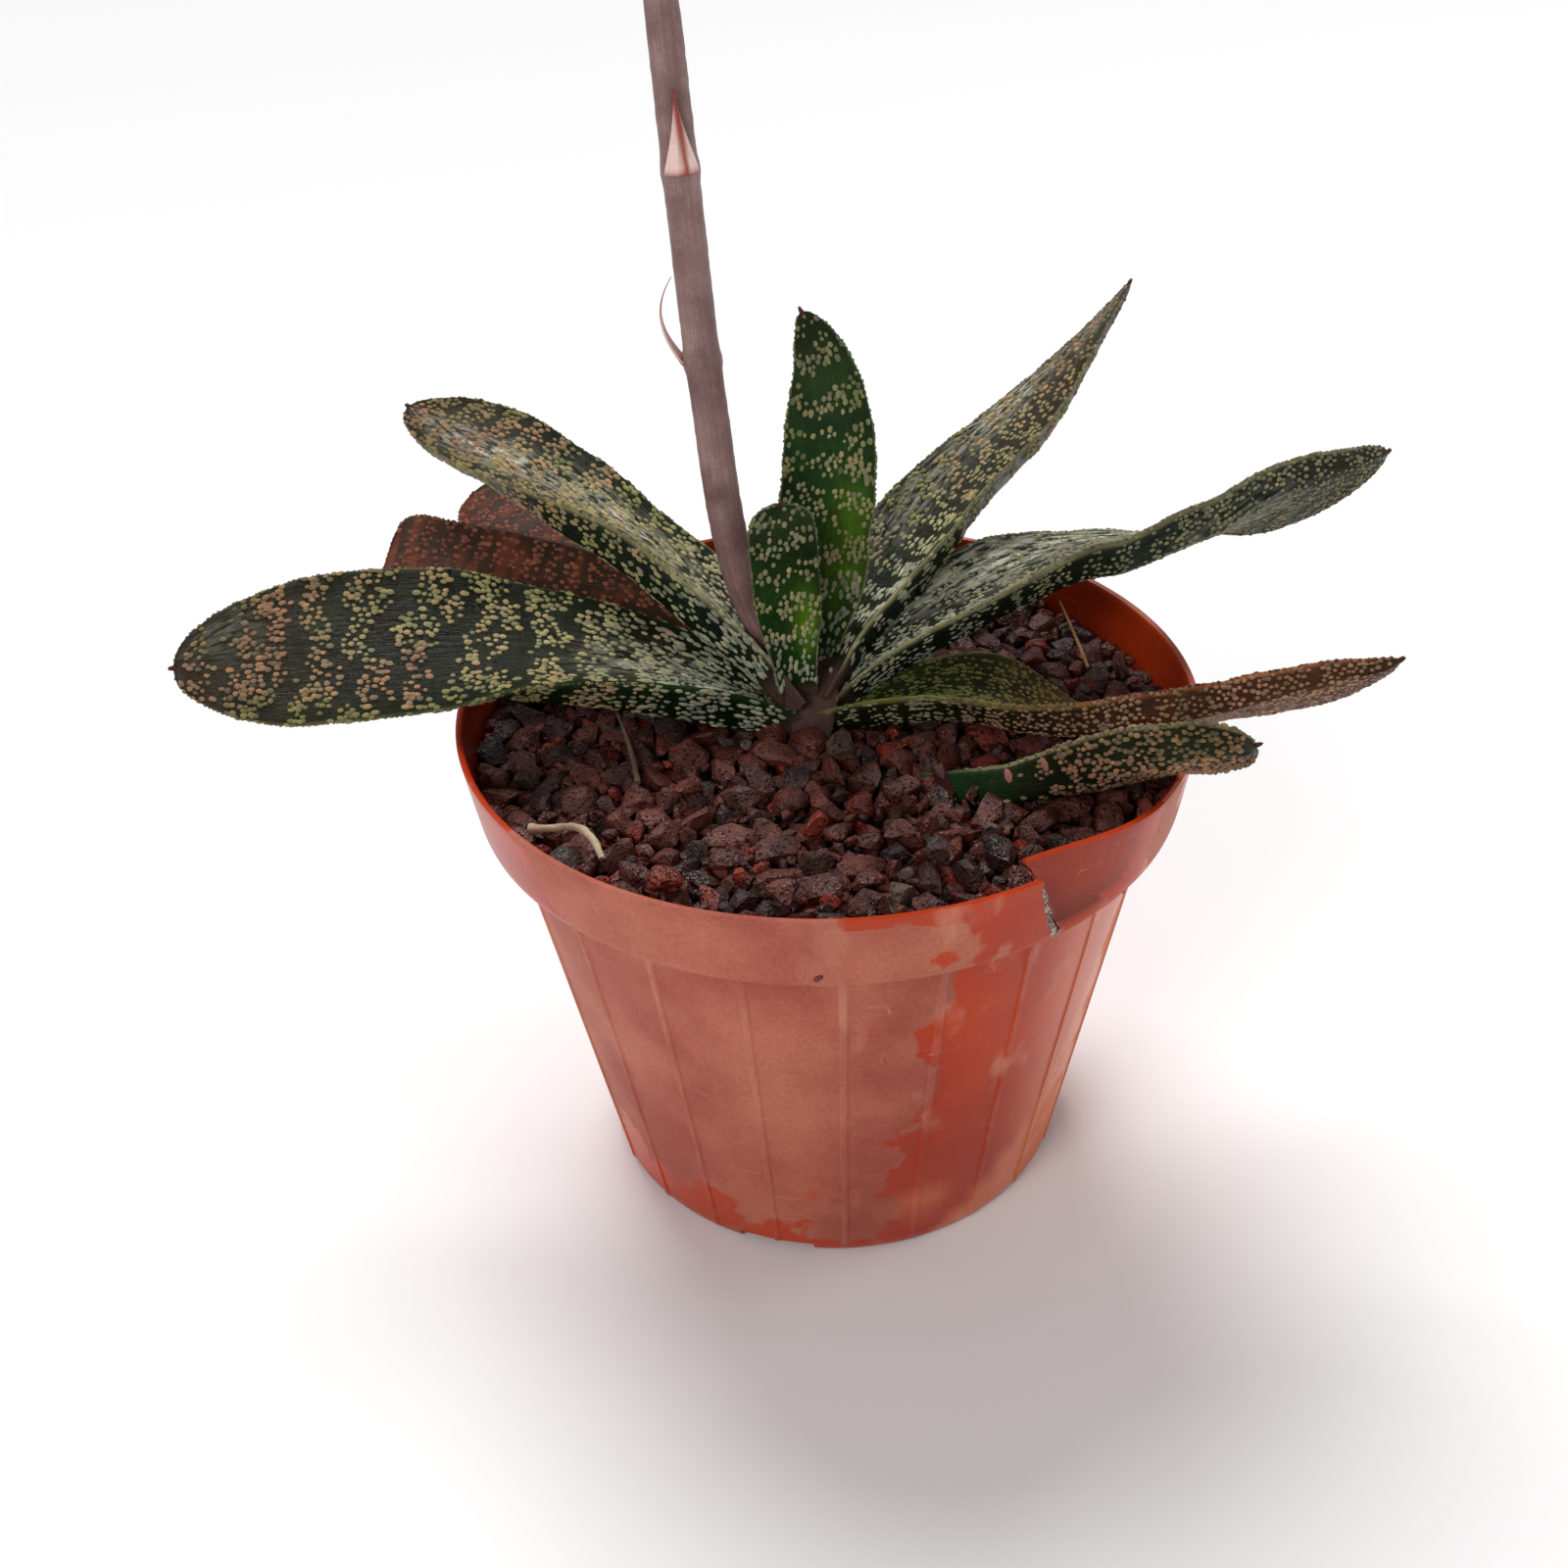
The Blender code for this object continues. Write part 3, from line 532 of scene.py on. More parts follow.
class Effects:
    """Node groups that several finishes share."""

    def __init__(self) -> None:
        """Build the groups once."""
        self.mottle = self._mottle()
        self.relief = self._relief()

    @staticmethod
    def _start(name: str, inputs: Sequence[tuple[str, str, object]], outputs: Sequence[tuple[str, str]]
               ) -> tuple[bpy.types.NodeTree, bpy.types.Node, bpy.types.Node]:
        """Make an empty group with its sockets.

        Args:
            name: The group's name.
            inputs: Name, socket type and default of each input.
            outputs: Name and socket type of each output.

        Returns:
            The group, its input node and its output node.
        """
        tree = bpy.data.node_groups.new(name, "ShaderNodeTree")
        for label, kind, value in inputs:
            socket = tree.interface.new_socket(label, in_out="INPUT", socket_type="NodeSocket" + kind)
            if value is not None:
                socket.default_value = value
        for label, kind in outputs:
            tree.interface.new_socket(label, in_out="OUTPUT", socket_type="NodeSocket" + kind)
        return tree, tree.nodes.new("NodeGroupInput"), tree.nodes.new("NodeGroupOutput")

    @classmethod
    def _mottle(cls) -> bpy.types.NodeTree:
        """Two colours in soft patches with fine grain over them."""
        white = (1.0, 1.0, 1.0, 1.0)
        tree, begin, end = cls._start(
            "patches_and_grain",
            (("Place", "Vector", None), ("Light", "Color", white), ("Deep", "Color", white),
             ("Patch Scale", "Float", 40.0), ("Grain Scale", "Float", 900.0), ("Grain", "Float", 0.2)),
            (("Colour", "Color"), ("Patch", "Float"), ("Grain", "Float")))
        patch, grain = (tree.nodes.new("ShaderNodeTexNoise") for _ in range(2))
        patch.inputs["Detail"].default_value = 4.0
        grain.inputs["Detail"].default_value = 2.0
        span = tree.nodes.new("ShaderNodeMapRange")
        span.inputs["From Min"].default_value, span.inputs["From Max"].default_value = 0.36, 0.64
        mix, speck = (tree.nodes.new("ShaderNodeMix") for _ in range(2))
        mix.data_type = speck.data_type = "RGBA"
        speck.blend_type = "OVERLAY"
        link = tree.links.new
        for node, scale in ((patch, "Patch Scale"), (grain, "Grain Scale")):
            link(begin.outputs["Place"], node.inputs["Vector"])
            link(begin.outputs[scale], node.inputs["Scale"])
        link(patch.outputs["Fac"], span.inputs["Value"])
        link(span.outputs["Result"], mix.inputs[0])
        link(begin.outputs["Light"], mix.inputs[6])
        link(begin.outputs["Deep"], mix.inputs[7])
        link(begin.outputs["Grain"], speck.inputs[0])
        link(mix.outputs[2], speck.inputs[6])
        link(grain.outputs["Fac"], speck.inputs[7])
        link(speck.outputs[2], end.inputs["Colour"])
        link(span.outputs["Result"], end.inputs["Patch"])
        link(grain.outputs["Fac"], end.inputs["Grain"])
        return tree

    @classmethod
    def _relief(cls) -> bpy.types.NodeTree:
        """A height made of one coarse and one fine pattern."""
        tree, begin, end = cls._start(
            "coarse_and_fine_relief",
            (("Place", "Vector", None), ("Coarse Scale", "Float", 300.0), ("Fine Scale", "Float", 1500.0),
             ("Fine Share", "Float", 0.4)),
            (("Height", "Float"),))
        coarse, fine = (tree.nodes.new("ShaderNodeTexNoise") for _ in range(2))
        mix = tree.nodes.new("ShaderNodeMix")
        link = tree.links.new
        for node, scale in ((coarse, "Coarse Scale"), (fine, "Fine Scale")):
            link(begin.outputs["Place"], node.inputs["Vector"])
            link(begin.outputs[scale], node.inputs["Scale"])
        link(begin.outputs["Fine Share"], mix.inputs[0])
        link(coarse.outputs["Fac"], mix.inputs[2])
        link(fine.outputs["Fac"], mix.inputs[3])
        link(mix.outputs[0], end.inputs["Height"])
        return tree


@dataclass(frozen=True)
class StoneFinish:
    """Porous lava, a little wet, with painted shade in its pores."""

    name: str
    light: Colour
    deep: Colour
    roughness: float = 0.62

    def mix(self, effects: Effects) -> bpy.types.Material:
        """Mix the finish.

        Args:
            effects: The shared node groups.

        Returns:
            The material.
        """
        recipe = Recipe(self.name)
        tone = recipe.group(effects.mottle, Place=recipe.place, Light=self.light, Deep=self.deep,
                            Patch_Scale=210.0, Grain_Scale=1500.0, Grain=0.35)
        tinted = recipe.mixed(1.0, tone.outputs["Colour"], recipe.colour("stone_tint"), "MULTIPLY")
        # Painted shade: the pores are darkened nearly to black.
        pores = recipe.add("TexVoronoi", Vector=recipe.place, Scale=900.0).outputs["Distance"]
        hole = recipe.ranged(pores, 0.12, 0.34)
        shaded = recipe.mixed(recipe.sum("MULTIPLY", recipe.sum("SUBTRACT", 1.0, hole), 0.55), tinted,
                              (0.008, 0.004, 0.004))
        relief = recipe.group(effects.relief, Place=recipe.place, Coarse_Scale=520.0, Fine_Scale=2200.0,
                              Fine_Share=0.35)
        height = recipe.sum("ADD", recipe.sum("MULTIPLY", hole, 0.5), relief.outputs["Height"])
        recipe.bumped(height, 0.0011, 1.0)
        wet = recipe.ranged(recipe.noise(260.0), 0.42, 0.60, self.roughness, 0.28)
        shaded = recipe.mixed(1.0, shaded, (0.80, 0.58, 0.52), "MULTIPLY")
        recipe.set(Base_Color=shaded, Roughness=wet, Specular_IOR_Level=0.42)
        return recipe.material


@dataclass(frozen=True)
class PotFinish:
    """Terracotta-coloured plastic: powdery film, painted sheen on its right, scratches, a pale tear at its
    split.
    """

    name: str = "pot_plastic"
    clean: Colour = linear(0.74, 0.23, 0.03)
    clean_deep: Colour = linear(0.64, 0.16, 0.02)
    # Colour of the painted sheen on the lit right of the body, also given to one pale spot low on the front.
    sheen_and_pale_spot: Colour = linear(0.85, 0.46, 0.30)
    dust_and_sheen_tone: Colour = linear(0.72, 0.42, 0.33)
    dust_and_sheen_deep: Colour = linear(0.62, 0.30, 0.24)
    pale: Colour = linear(0.86, 0.62, 0.52)
    stain: Colour = linear(0.25, 0.09, 0.06)
    tear: Colour = linear(0.70, 0.62, 0.56)

    def mix(self, effects: Effects) -> bpy.types.Material:
        """Mix the finish.

        Args:
            effects: The shared node groups.

        Returns:
            The material.
        """
        recipe = Recipe(self.name)
        clean = recipe.group(effects.mottle, Place=recipe.place, Light=self.clean, Deep=self.clean_deep,
                             Patch_Scale=30.0, Grain_Scale=700.0, Grain=0.10)
        film = recipe.group(effects.mottle, Place=recipe.place, Light=self.dust_and_sheen_tone, Deep=self.dust_and_sheen_deep,
                            Patch_Scale=48.0, Grain_Scale=1300.0, Grain=0.30)
        wander = recipe.sum("MULTIPLY", recipe.sum("SUBTRACT", recipe.noise(62.0, 5.0), 0.5), 1.5)
        # The powdery film is real on the left; past the right edge it stands for painted sheen on the lit
        # side.
        dust_and_sheen = recipe.ranged(recipe.sum("ADD", recipe.number("dust_and_sheen"), wander), 0.47, 0.53)
        tone = recipe.mixed(recipe.sum("MULTIPLY", dust_and_sheen, 0.92), clean.outputs["Colour"],
                            film.outputs["Colour"])
        # Painted sheen: the lit right of the body is mixed paler, and one pale spot low on the front.
        tone = recipe.mixed(recipe.number("sheen_and_pale_spot"), tone, self.sheen_and_pale_spot)
        smear = recipe.noise(95.0, 5.0, recipe.spread((1.0, 1.0, 0.5)))
        bright = recipe.sum("MULTIPLY", recipe.ranged(smear, 0.56, 0.74), recipe.number("scuff"))
        tone = recipe.mixed(recipe.sum("MULTIPLY", bright, 0.45), tone, self.pale)
        worn = recipe.ranged(recipe.noise(70.0, 5.0), 0.40, 0.66, 0.02, 0.32)
        tone = recipe.mixed(recipe.sum("MULTIPLY", recipe.number("rib"), worn), tone, self.pale)
        lines = []
        for turn, scale in ((0.5, (9.0, 9.0, 120.0)), (-0.9, (150.0, 150.0, 14.0))):
            mapping = recipe.add("Mapping", Vector=recipe.place, Scale=scale, Rotation=(turn, 0.3, turn))
            line = recipe.noise(1.6, 2.0, mapping.outputs["Vector"])
            lines.append(recipe.ranged(recipe.sum("ABSOLUTE", recipe.sum("SUBTRACT", line, 0.5), 0.0),
                                       0.0, 0.006, 1.0, 0.0))
        scratch = recipe.sum("MULTIPLY", recipe.sum("MAXIMUM", lines[0], lines[1]),
                             recipe.ranged(recipe.noise(90.0), 0.56, 0.66))
        tone = recipe.mixed(recipe.sum("MULTIPLY", scratch, 0.35), tone, self.pale)
        specks = recipe.add("TexVoronoi", Vector=recipe.place, Scale=330.0).outputs["Distance"]
        dirt = recipe.sum("MULTIPLY", recipe.ranged(specks, 0.04, 0.10, 1.0, 0.0),
                          recipe.ranged(recipe.noise(150.0), 0.60, 0.66))
        tone = recipe.mixed(recipe.sum("MULTIPLY", dirt, 0.8), tone, self.stain)
        # The inner wall is darkened, more strongly lower down.
        tone = recipe.mixed(recipe.number("inner_darkening"), tone, self.stain)
        torn = recipe.ranged(recipe.noise(900.0, 3.0), 0.44, 0.54, 0.05, 1.0)
        rough_edge = recipe.mixed(torn, self.stain, self.tear)
        tone = recipe.mixed(recipe.number("tear"), tone, rough_edge)
        relief = recipe.group(effects.relief, Place=recipe.place, Coarse_Scale=160.0, Fine_Scale=1500.0,
                              Fine_Share=0.5)
        rough = recipe.sum("MULTIPLY",
                           recipe.sum("MULTIPLY", recipe.noise(1100.0, 3.0), recipe.number("tear")), 6.0)
        height = recipe.sum("ADD", relief.outputs["Height"], recipe.sum("MULTIPLY", scratch, 0.4))
        recipe.bumped(recipe.sum("ADD", height, rough), 0.00018, 0.7)
        recipe.set(Base_Color=tone, Roughness=recipe.ranged(dust_and_sheen, 0.0, 1.0, 0.30, 0.58),
                   Specular_IOR_Level=0.32, Subsurface_Weight=0.08, Subsurface_Radius=(0.006, 0.002, 0.001),
                   IOR=1.49)
        return recipe.material


@dataclass(frozen=True)
class LeafFinish:
    """Glossy leaf skin with fine lines along it, raised pale warts and pale streaks of painted sheen."""

    name: str
    roughness: float = 0.23
    shine: float = 0.13
    # Colour of the painted sheen streaks.
    film: Colour = linear(0.92, 0.91, 0.82)

    def mix(self, effects: Effects) -> bpy.types.Material:
        """Mix the finish.

        Args:
            effects: The shared node groups.

        Returns:
            The material.
        """
        recipe = Recipe(self.name)
        skin, wart = recipe.colour("skin_tint"), recipe.number("wart")
        flow = recipe.spread((46.0, 7.0, 1.0), recipe.round_and_along())
        lines = recipe.noise(2.4, 4.0, flow, 0.7)
        streaked = recipe.mixed(recipe.ranged(lines, 0.40, 0.68, 0.0, 0.6), skin,
                                recipe.mixed(1.0, skin, (1.8, 1.7, 1.5), "MULTIPLY"))
        cells = recipe.group(effects.mottle, Place=recipe.place, Light=(1.2, 1.2, 1.15),
                             Deep=(0.7, 0.72, 0.7),
                             Patch_Scale=170.0, Grain_Scale=2600.0, Grain=0.35)
        tone = recipe.mixed(1.0, streaked, cells.outputs["Colour"], "MULTIPLY")
        soft = recipe.mixed(0.25, skin, recipe.mixed(1.0, skin, cells.outputs["Colour"], "MULTIPLY"))
        tone = recipe.mixed(wart, tone, soft)
        # Painted sheen: pale streaks that stand for reflected light, where the leaf's patches ask for it.
        streaks = recipe.noise(2.0, 5.0, recipe.spread((30.0, 12.0, 1.0), recipe.round_and_along()), 0.6)
        film = recipe.sum("MULTIPLY", recipe.ranged(streaks, 0.40, 0.62), recipe.number("painted_sheen"))
        tone = recipe.mixed(film, tone, self.film)
        relief = recipe.group(effects.relief, Place=recipe.place, Coarse_Scale=600.0, Fine_Scale=2600.0,
                              Fine_Share=0.4)
        height = recipe.sum("ADD", recipe.sum("MULTIPLY", lines, 1.0),
                            recipe.sum("MULTIPLY", relief.outputs["Height"], 0.6))
        recipe.bumped(height, 0.0007, 0.8)
        gloss = recipe.ranged(lines, 0.3, 0.7, self.roughness - 0.08, self.roughness + 0.14)
        recipe.set(Base_Color=tone, Roughness=recipe.sum("ADD", gloss, recipe.sum("MULTIPLY", wart, 0.12)),
                   IOR=1.45, Specular_IOR_Level=self.shine)
        return recipe.material


@dataclass(frozen=True)
class DryFinish:
    """Dry or woody matter with lines along its length."""

    name: str
    light: Colour
    deep: Colour
    roughness: float = 0.6
    lines: tuple[float, float, float] = (14.0, 1.5, 1.0)
    tinted: bool = False
    clear: float = 0.0

    def mix(self, effects: Effects) -> bpy.types.Material:
        """Mix the finish.

        Args:
            effects: The shared node groups.

        Returns:
            The material.
        """
        recipe = Recipe(self.name)
        grain = recipe.noise(3.0, 4.0, recipe.spread(self.lines, recipe.round_and_along()))
        tone = recipe.group(effects.mottle, Place=recipe.place, Light=self.light, Deep=self.deep,
                            Patch_Scale=120.0, Grain_Scale=2200.0, Grain=0.4).outputs["Colour"]
        tone = recipe.mixed(recipe.ranged(grain, 0.42, 0.66, 0.0, 0.55), tone, self.deep)
        if self.tinted:
            tone = recipe.mixed(1.0, tone, recipe.colour("skin_tint"), "MULTIPLY")
        relief = recipe.group(effects.relief, Place=recipe.place, Coarse_Scale=700.0, Fine_Scale=2600.0,
                              Fine_Share=0.4)
        recipe.bumped(recipe.sum("ADD", grain, recipe.sum("MULTIPLY", relief.outputs["Height"], 0.5)),
                      0.00025, 0.7)
        recipe.set(Base_Color=tone, Roughness=recipe.ranged(grain, 0.3, 0.7, self.roughness - 0.08,
                                                            self.roughness + 0.1))
        if self.clear:
            recipe.set(Subsurface_Weight=self.clear, Subsurface_Radius=(0.003, 0.0015, 0.001))
        return recipe.material


# ------------------------------------------------------------------------------- pot
@dataclass
class NurseryPot:
    """The pot: tapered ribbed body, upright band with a split, drained base. Millimetres."""

    height: float
    rim_radius: float
    band_height: float = 16.0
    band_foot_radius: float = 67.5
    body_top_radius: float = 63.0
    base_radius: float = 47.0
    wall: float = 1.3
    floor: float = 4.0
    rib_count: int = 22
    rib_first: float = -88.3
    rib_half_width: float = 0.9
    rib_proud: float = 0.32
    columns_per_rib: int = 12
    crack_foot: float = -54.5
    crack_lean: float = -5.0
    crack_half_gap: float = 0.28
    dent: float = 6.0
    dent_span: float = 27.0
    drains: int = 4
    drain_turn: float = -105.0
    drain_width: float = 15.0
    drain_height: float = 2.4
    drain_from: float = 22.0
    hole_radius: float = 4.5
    hole_place: float = 33.0
    band_rows: int = 11

    @property
    def band_foot(self) -> float:
        """Height where the band starts."""
        return self.height - self.band_height

    @property
    def columns(self) -> int:
        """How many upright rows of points the wall has."""
        return self.rib_count * self.columns_per_rib

    def body_radius(self, height: float) -> float:
        """Outer radius of the tapered body at a height."""
        return self.base_radius + (self.body_top_radius - self.base_radius) * height / self.band_foot

    def band_radius(self, height: float) -> float:
        """Outer radius of the band at a height."""
        share = (height - self.band_foot) / self.band_height
        return self.band_foot_radius + (self.rim_radius - self.band_foot_radius) * share

    def crack_angle(self, height: np.ndarray | float) -> np.ndarray:
        """Where the split is, in degrees, at a height."""
        return self.crack_foot + self.crack_lean * (np.asarray(height) - self.band_foot) / self.band_height

    def dented(self, angle: np.ndarray, height: np.ndarray) -> np.ndarray:
        """How far the wall is pushed in right of the split.

        Args:
            angle: Degrees round the pot.
            height: Heights.

        Returns:
            The dent at each place.
        """
        away = angle - self.crack_angle(height)
        climb = np.clip((height - self.band_foot - self.wall) / (self.band_height - self.wall), 0.0, 1.0)
        swing = 0.5 + 0.5 * np.cos(np.pi * np.clip(away / self.dent_span, 0.0, 1.0))
        return np.where(away > 0.0, self.dent * swing * climb**0.8, 0.0)

    def inner_radius(self, height: float) -> float:
        """Radius of the room inside at a height."""
        if height > self.band_foot + self.wall:
            return self.band_radius(height) - self.wall
        return self.body_radius(height) - self.wall

    def band_levels(self) -> list[float]:
        """Heights of the rows in the band, the same outside and inside."""
        low, high = self.band_foot + self.wall + 0.3, self.height - 0.7
        return [low + (high - low) * n / (self.band_rows - 1) for n in range(self.band_rows)]

    def outline(self) -> list[tuple[float, float]]:
        """The wall's section, from the middle of the underside round to the middle of the floor."""
        foot, wall, rim = self.band_foot, self.wall, self.rim_radius
        rows = [(0.0, 0.0), (18.0, 0.0), (self.base_radius - 6.0, 0.0), (self.base_radius - 1.4, 0.0),
                (self.base_radius - 0.3, 0.5)]
        rows += [(self.body_radius(z), z) for z in (1.6, 3.2, *np.linspace(8.0, foot - 6.0, 13), foot - 2.2,
                                                    foot - 0.9)]
        rows += [(self.body_top_radius + 0.35, foot - 0.25), (self.band_foot_radius - 0.6, foot - 0.1),
                 (self.band_foot_radius - 0.05, foot + 0.45)]
        rows += [(self.band_radius(z), z) for z in self.band_levels()]
        rows += [(rim - 0.12, self.height - 0.25), (rim - 0.5 * wall, self.height),
                 (rim - wall + 0.12, self.height - 0.25)]
        rows += [(self.band_radius(z) - wall, z) for z in reversed(self.band_levels())]
        rows += [(self.band_foot_radius - wall - 0.7, foot + wall),
                 (self.body_top_radius - wall, foot + wall - 0.4)]
        rows += [(self.body_radius(z) - wall, z) for z in np.linspace(foot - 4.0, self.floor + 1.0, 9)]
        rows += [(self.body_radius(self.floor) - wall - 1.0, self.floor), (20.0, self.floor),
                 (0.0, self.floor)]
        return rows

    def _spun(self) -> bpy.types.Object:
        """Draw the section from one point and spin it round the pot's axis.

        Returns:
            The whole wall as one closed piece.
        """
        Bench.clear()
        bpy.ops.mesh.primitive_plane_add(size=MM)
        pot = Bench.named("nursery_pot")
        outline = self.outline()
        bpy.ops.object.mode_set(mode="EDIT")
        bpy.ops.mesh.select_all(action="SELECT")
        bpy.ops.mesh.merge(type="CENTER")
        for (r0, z0), (r1, z1) in zip(outline, outline[1:]):
            bpy.ops.mesh.extrude_region_move(
                TRANSFORM_OT_translate={"value": ((r1 - r0) * MM, 0.0, (z1 - z0) * MM)})
        bpy.ops.mesh.select_all(action="SELECT")
        bpy.ops.mesh.spin(steps=self.columns, angle=2.0 * math.pi, center=(0.0, 0.0, 0.0),
                          axis=(0.0, 0.0, 1.0), use_auto_merge=True)
        bpy.ops.mesh.select_all(action="SELECT")
        bpy.ops.mesh.remove_doubles(threshold=2e-6)
        bpy.ops.mesh.normals_make_consistent(inside=False)
        bpy.ops.object.mode_set(mode="OBJECT")
        return pot

    def _turned(self, index: np.ndarray, height: np.ndarray) -> np.ndarray:
        """Degrees of each point: close together at the ribs below, and at the split above.

        Args:
            index: Which upright row the point is in.
            height: The point's height.

        Returns:
            Its angle in degrees.
        """
        period = 360.0 / self.rib_count
        slot, rib = index % self.columns_per_rib, index // self.columns_per_rib
        half = self.rib_half_width
        near = np.array([-half, -0.5 * half, 0.5 * half, half])
        rest = np.linspace(half, period - half, self.columns_per_rib - 2)[1:-1]
        offsets = np.concatenate([near, rest])
        ribbed = self.rib_first + rib * period + offsets[slot]
        step = 360.0 / self.columns
        even = self.rib_first + (index - 1.5) * step
        split = self.crack_foot
        start = round((split - self.rib_first) / step + 1.0)
        even = even + (split - (self.rib_first + (start - 1.5 + 0.5) * step))
        away = (even - split + 180.0) % 360.0 - 180.0
        pull = np.clip(1.0 - np.abs(away) / 12.0, 0.0, 1.0)
        jag = 0.22 * np.sin(height * 2.9) + 0.16 * np.sin(height * 6.1 + index)
        lean = self.crack_angle(height) - split
        gap = self.crack_half_gap
        closer = np.interp(np.abs(away) / step, [0.0, 0.5, 1.5, 2.5, 9.0],
                           [0.0, gap, gap + 1.0, gap + 1.25, 9.0 * step])
        cracked = even + np.sign(away) * (closer - np.abs(away)) * (pull > 0.0) + (lean + jag) * pull**0.7
        cracked = cracked + np.where((away < 0.0) & (np.abs(away) > step) & (pull > 0.7),
                                     0.35 * np.sin(height * 4.7 + 1.0), 0.0)
        return np.where(height > self.band_foot + 0.2, cracked, ribbed)

    def _open_split(self, pot: bpy.types.Object, index: np.ndarray) -> np.ndarray:
        """Take out the thin strip at the split and close the two torn ends.

        Args:
            pot: The pot.
            index: Which upright row each point is in.

        Returns:
            One number per point, 1 on the torn ends.
        """
        step = 360.0 / self.columns
        left = round((self.crack_foot - self.rib_first) / step + 1.0) % self.columns
        right = (left + 1) % self.columns
        data = bmesh.new()
        data.from_mesh(pot.data)
        data.verts.ensure_lookup_table()
        low = self.band_foot + self.wall
        sides: dict[int, list[bmesh.types.BMVert]] = {left: [], right: []}
        for vert in data.verts:
            if index[vert.index] in sides and vert.co.z > low * MM + 1e-5:
                sides[int(index[vert.index])].append(vert)
        chosen = {vert for side in sides.values() for vert in side}
        strip = [face for face in data.faces if all(vert in chosen for vert in face.verts)]
        bmesh.ops.delete(data, geom=strip, context="FACES_ONLY")
        torn = {vert.index for vert in chosen}
        ladders = []
        for side in (sides[left], sides[right]):
            top = max(side, key=lambda vert: vert.co.z)
            walls = sorted((vert for vert in side if vert is not top), key=lambda vert: round(vert.co.z, 6))
            rungs = []
            for a, b in zip(walls[::2], walls[1::2]):
                rungs.append((a, b) if a.co.xy.length > b.co.xy.length else (b, a))
            for (o0, i0), (o1, i1) in zip(rungs, rungs[1:]):
                data.faces.new((o0, o1, i1, i0))
            data.faces.new((rungs[-1][0], top, rungs[-1][1]))
            ladders.append(rungs[0])
        (o0, i0), (o1, i1) = ladders
        data.faces.new((o0, i0, i1, o1))
        LOG.info("split closed, %d torn points", len(torn))
        bmesh.ops.recalc_face_normals(data, faces=data.faces)
        data.to_mesh(pot.data)
        data.free()
        height = Bench.points(pot)[:, 2] / MM
        frayed = (index == (left - 1) % self.columns) & (height > low)
        marks = frayed.astype(float)
        marks[list(torn)] = 1.0
        marks *= (np.where(index == right, 0.2, 1.0)
                  * smooth_step(self.height - 0.8, self.height - 2.6, height))
        return marks

    def _drained(self, pot: bpy.types.Object) -> None:
        """Cut the channels and holes in the base.

        Args:
            pot: The pot.
        """
        for n in range(self.drains):
            turn = math.radians(self.drain_turn + 360.0 / self.drains * n)
            reach = self.base_radius * 1.2 - self.drain_from
            middle = self.drain_from + 0.5 * reach
            Bench.clear()
            bpy.ops.mesh.primitive_cube_add(size=1.0, location=(middle * MM * math.cos(turn),
                                                                middle * MM * math.sin(turn), 0.0),
                                            rotation=(0.0, 0.0, turn),
                                            scale=(reach * MM, self.drain_width * MM,
                                                   2.0 * self.drain_height * MM))
            channel = Bench.named(f"drain_channel_{n}")
            Bench.clear()
            bpy.ops.mesh.primitive_cylinder_add(vertices=32, radius=self.hole_radius * MM,
                                                depth=3.0 * self.floor * MM,
                                                location=(self.hole_place * MM * math.cos(turn),
                                                          self.hole_place * MM * math.sin(turn),
                                                          0.5 * self.floor * MM))
            hole = Bench.named(f"drain_hole_{n}")
            for tool in (channel, hole):
                modifier = pot.modifiers.new(tool.name, "BOOLEAN")
                modifier.operation, modifier.solver, modifier.object = "DIFFERENCE", "EXACT", tool
                Bench.applied(pot)
                bpy.data.objects.remove(tool, do_unlink=True)

    def _marks(self, pot: bpy.types.Object) -> None:
        """Store where the wall has a powdery film, painted sheen on its right, scuffs, a darker inside and a
        tear.

        Args:
            pot: The pot.
        """
        places = Bench.points(pot) / MM
        radius, height = np.hypot(places[:, 0], places[:, 1]), places[:, 2]
        turn = np.degrees(np.arctan2(places[:, 1], places[:, 0]))
        front = (turn + 90.0 + 180.0) % 360.0 - 180.0
        band = height > self.band_foot - 0.5
        left_edge = np.where(band, 24.0 + (height - self.band_foot) * -0.5, 20.0 - (84.0 - height) * 0.18)
        # Past the right edge, on the lit side, the powdery film is painted sheen.
        sheen_edge = np.where(band, 58.0, 49.0 + 0.24 * height)
        dust_and_sheen = np.clip(0.5 + (left_edge - front) / 34.0, 0.08, 1.1)
        dust_and_sheen = np.maximum(dust_and_sheen, np.clip(0.5 + (front - sheen_edge) / 16.0, 0.0, np.where(band, 0.62, 0.45)))
        far_left = -42.0 - 0.7 * (height - self.band_foot)
        dust_and_sheen = np.where(band & (front > -120.0),
                        np.minimum(dust_and_sheen, np.clip(0.5 + (front - far_left) / 14.0, 0.1, 1.1)),
                        dust_and_sheen)
        dust_and_sheen = np.where(height < 26.0, np.minimum(dust_and_sheen, 0.42 + 0.012 * height), dust_and_sheen)
        rim_rub = smooth_step(self.height - 5.0, self.height - 1.5, height)
        dust_and_sheen = np.where((front > -5.0) & (front < 50.0) & band, dust_and_sheen - 0.35 * rim_rub, dust_and_sheen)
        dust_and_sheen += smooth_step(115.0, 175.0, np.abs(front)) * (0.5 - dust_and_sheen)
        inside = radius < np.array([self.inner_radius(z) for z in height]) + 0.35
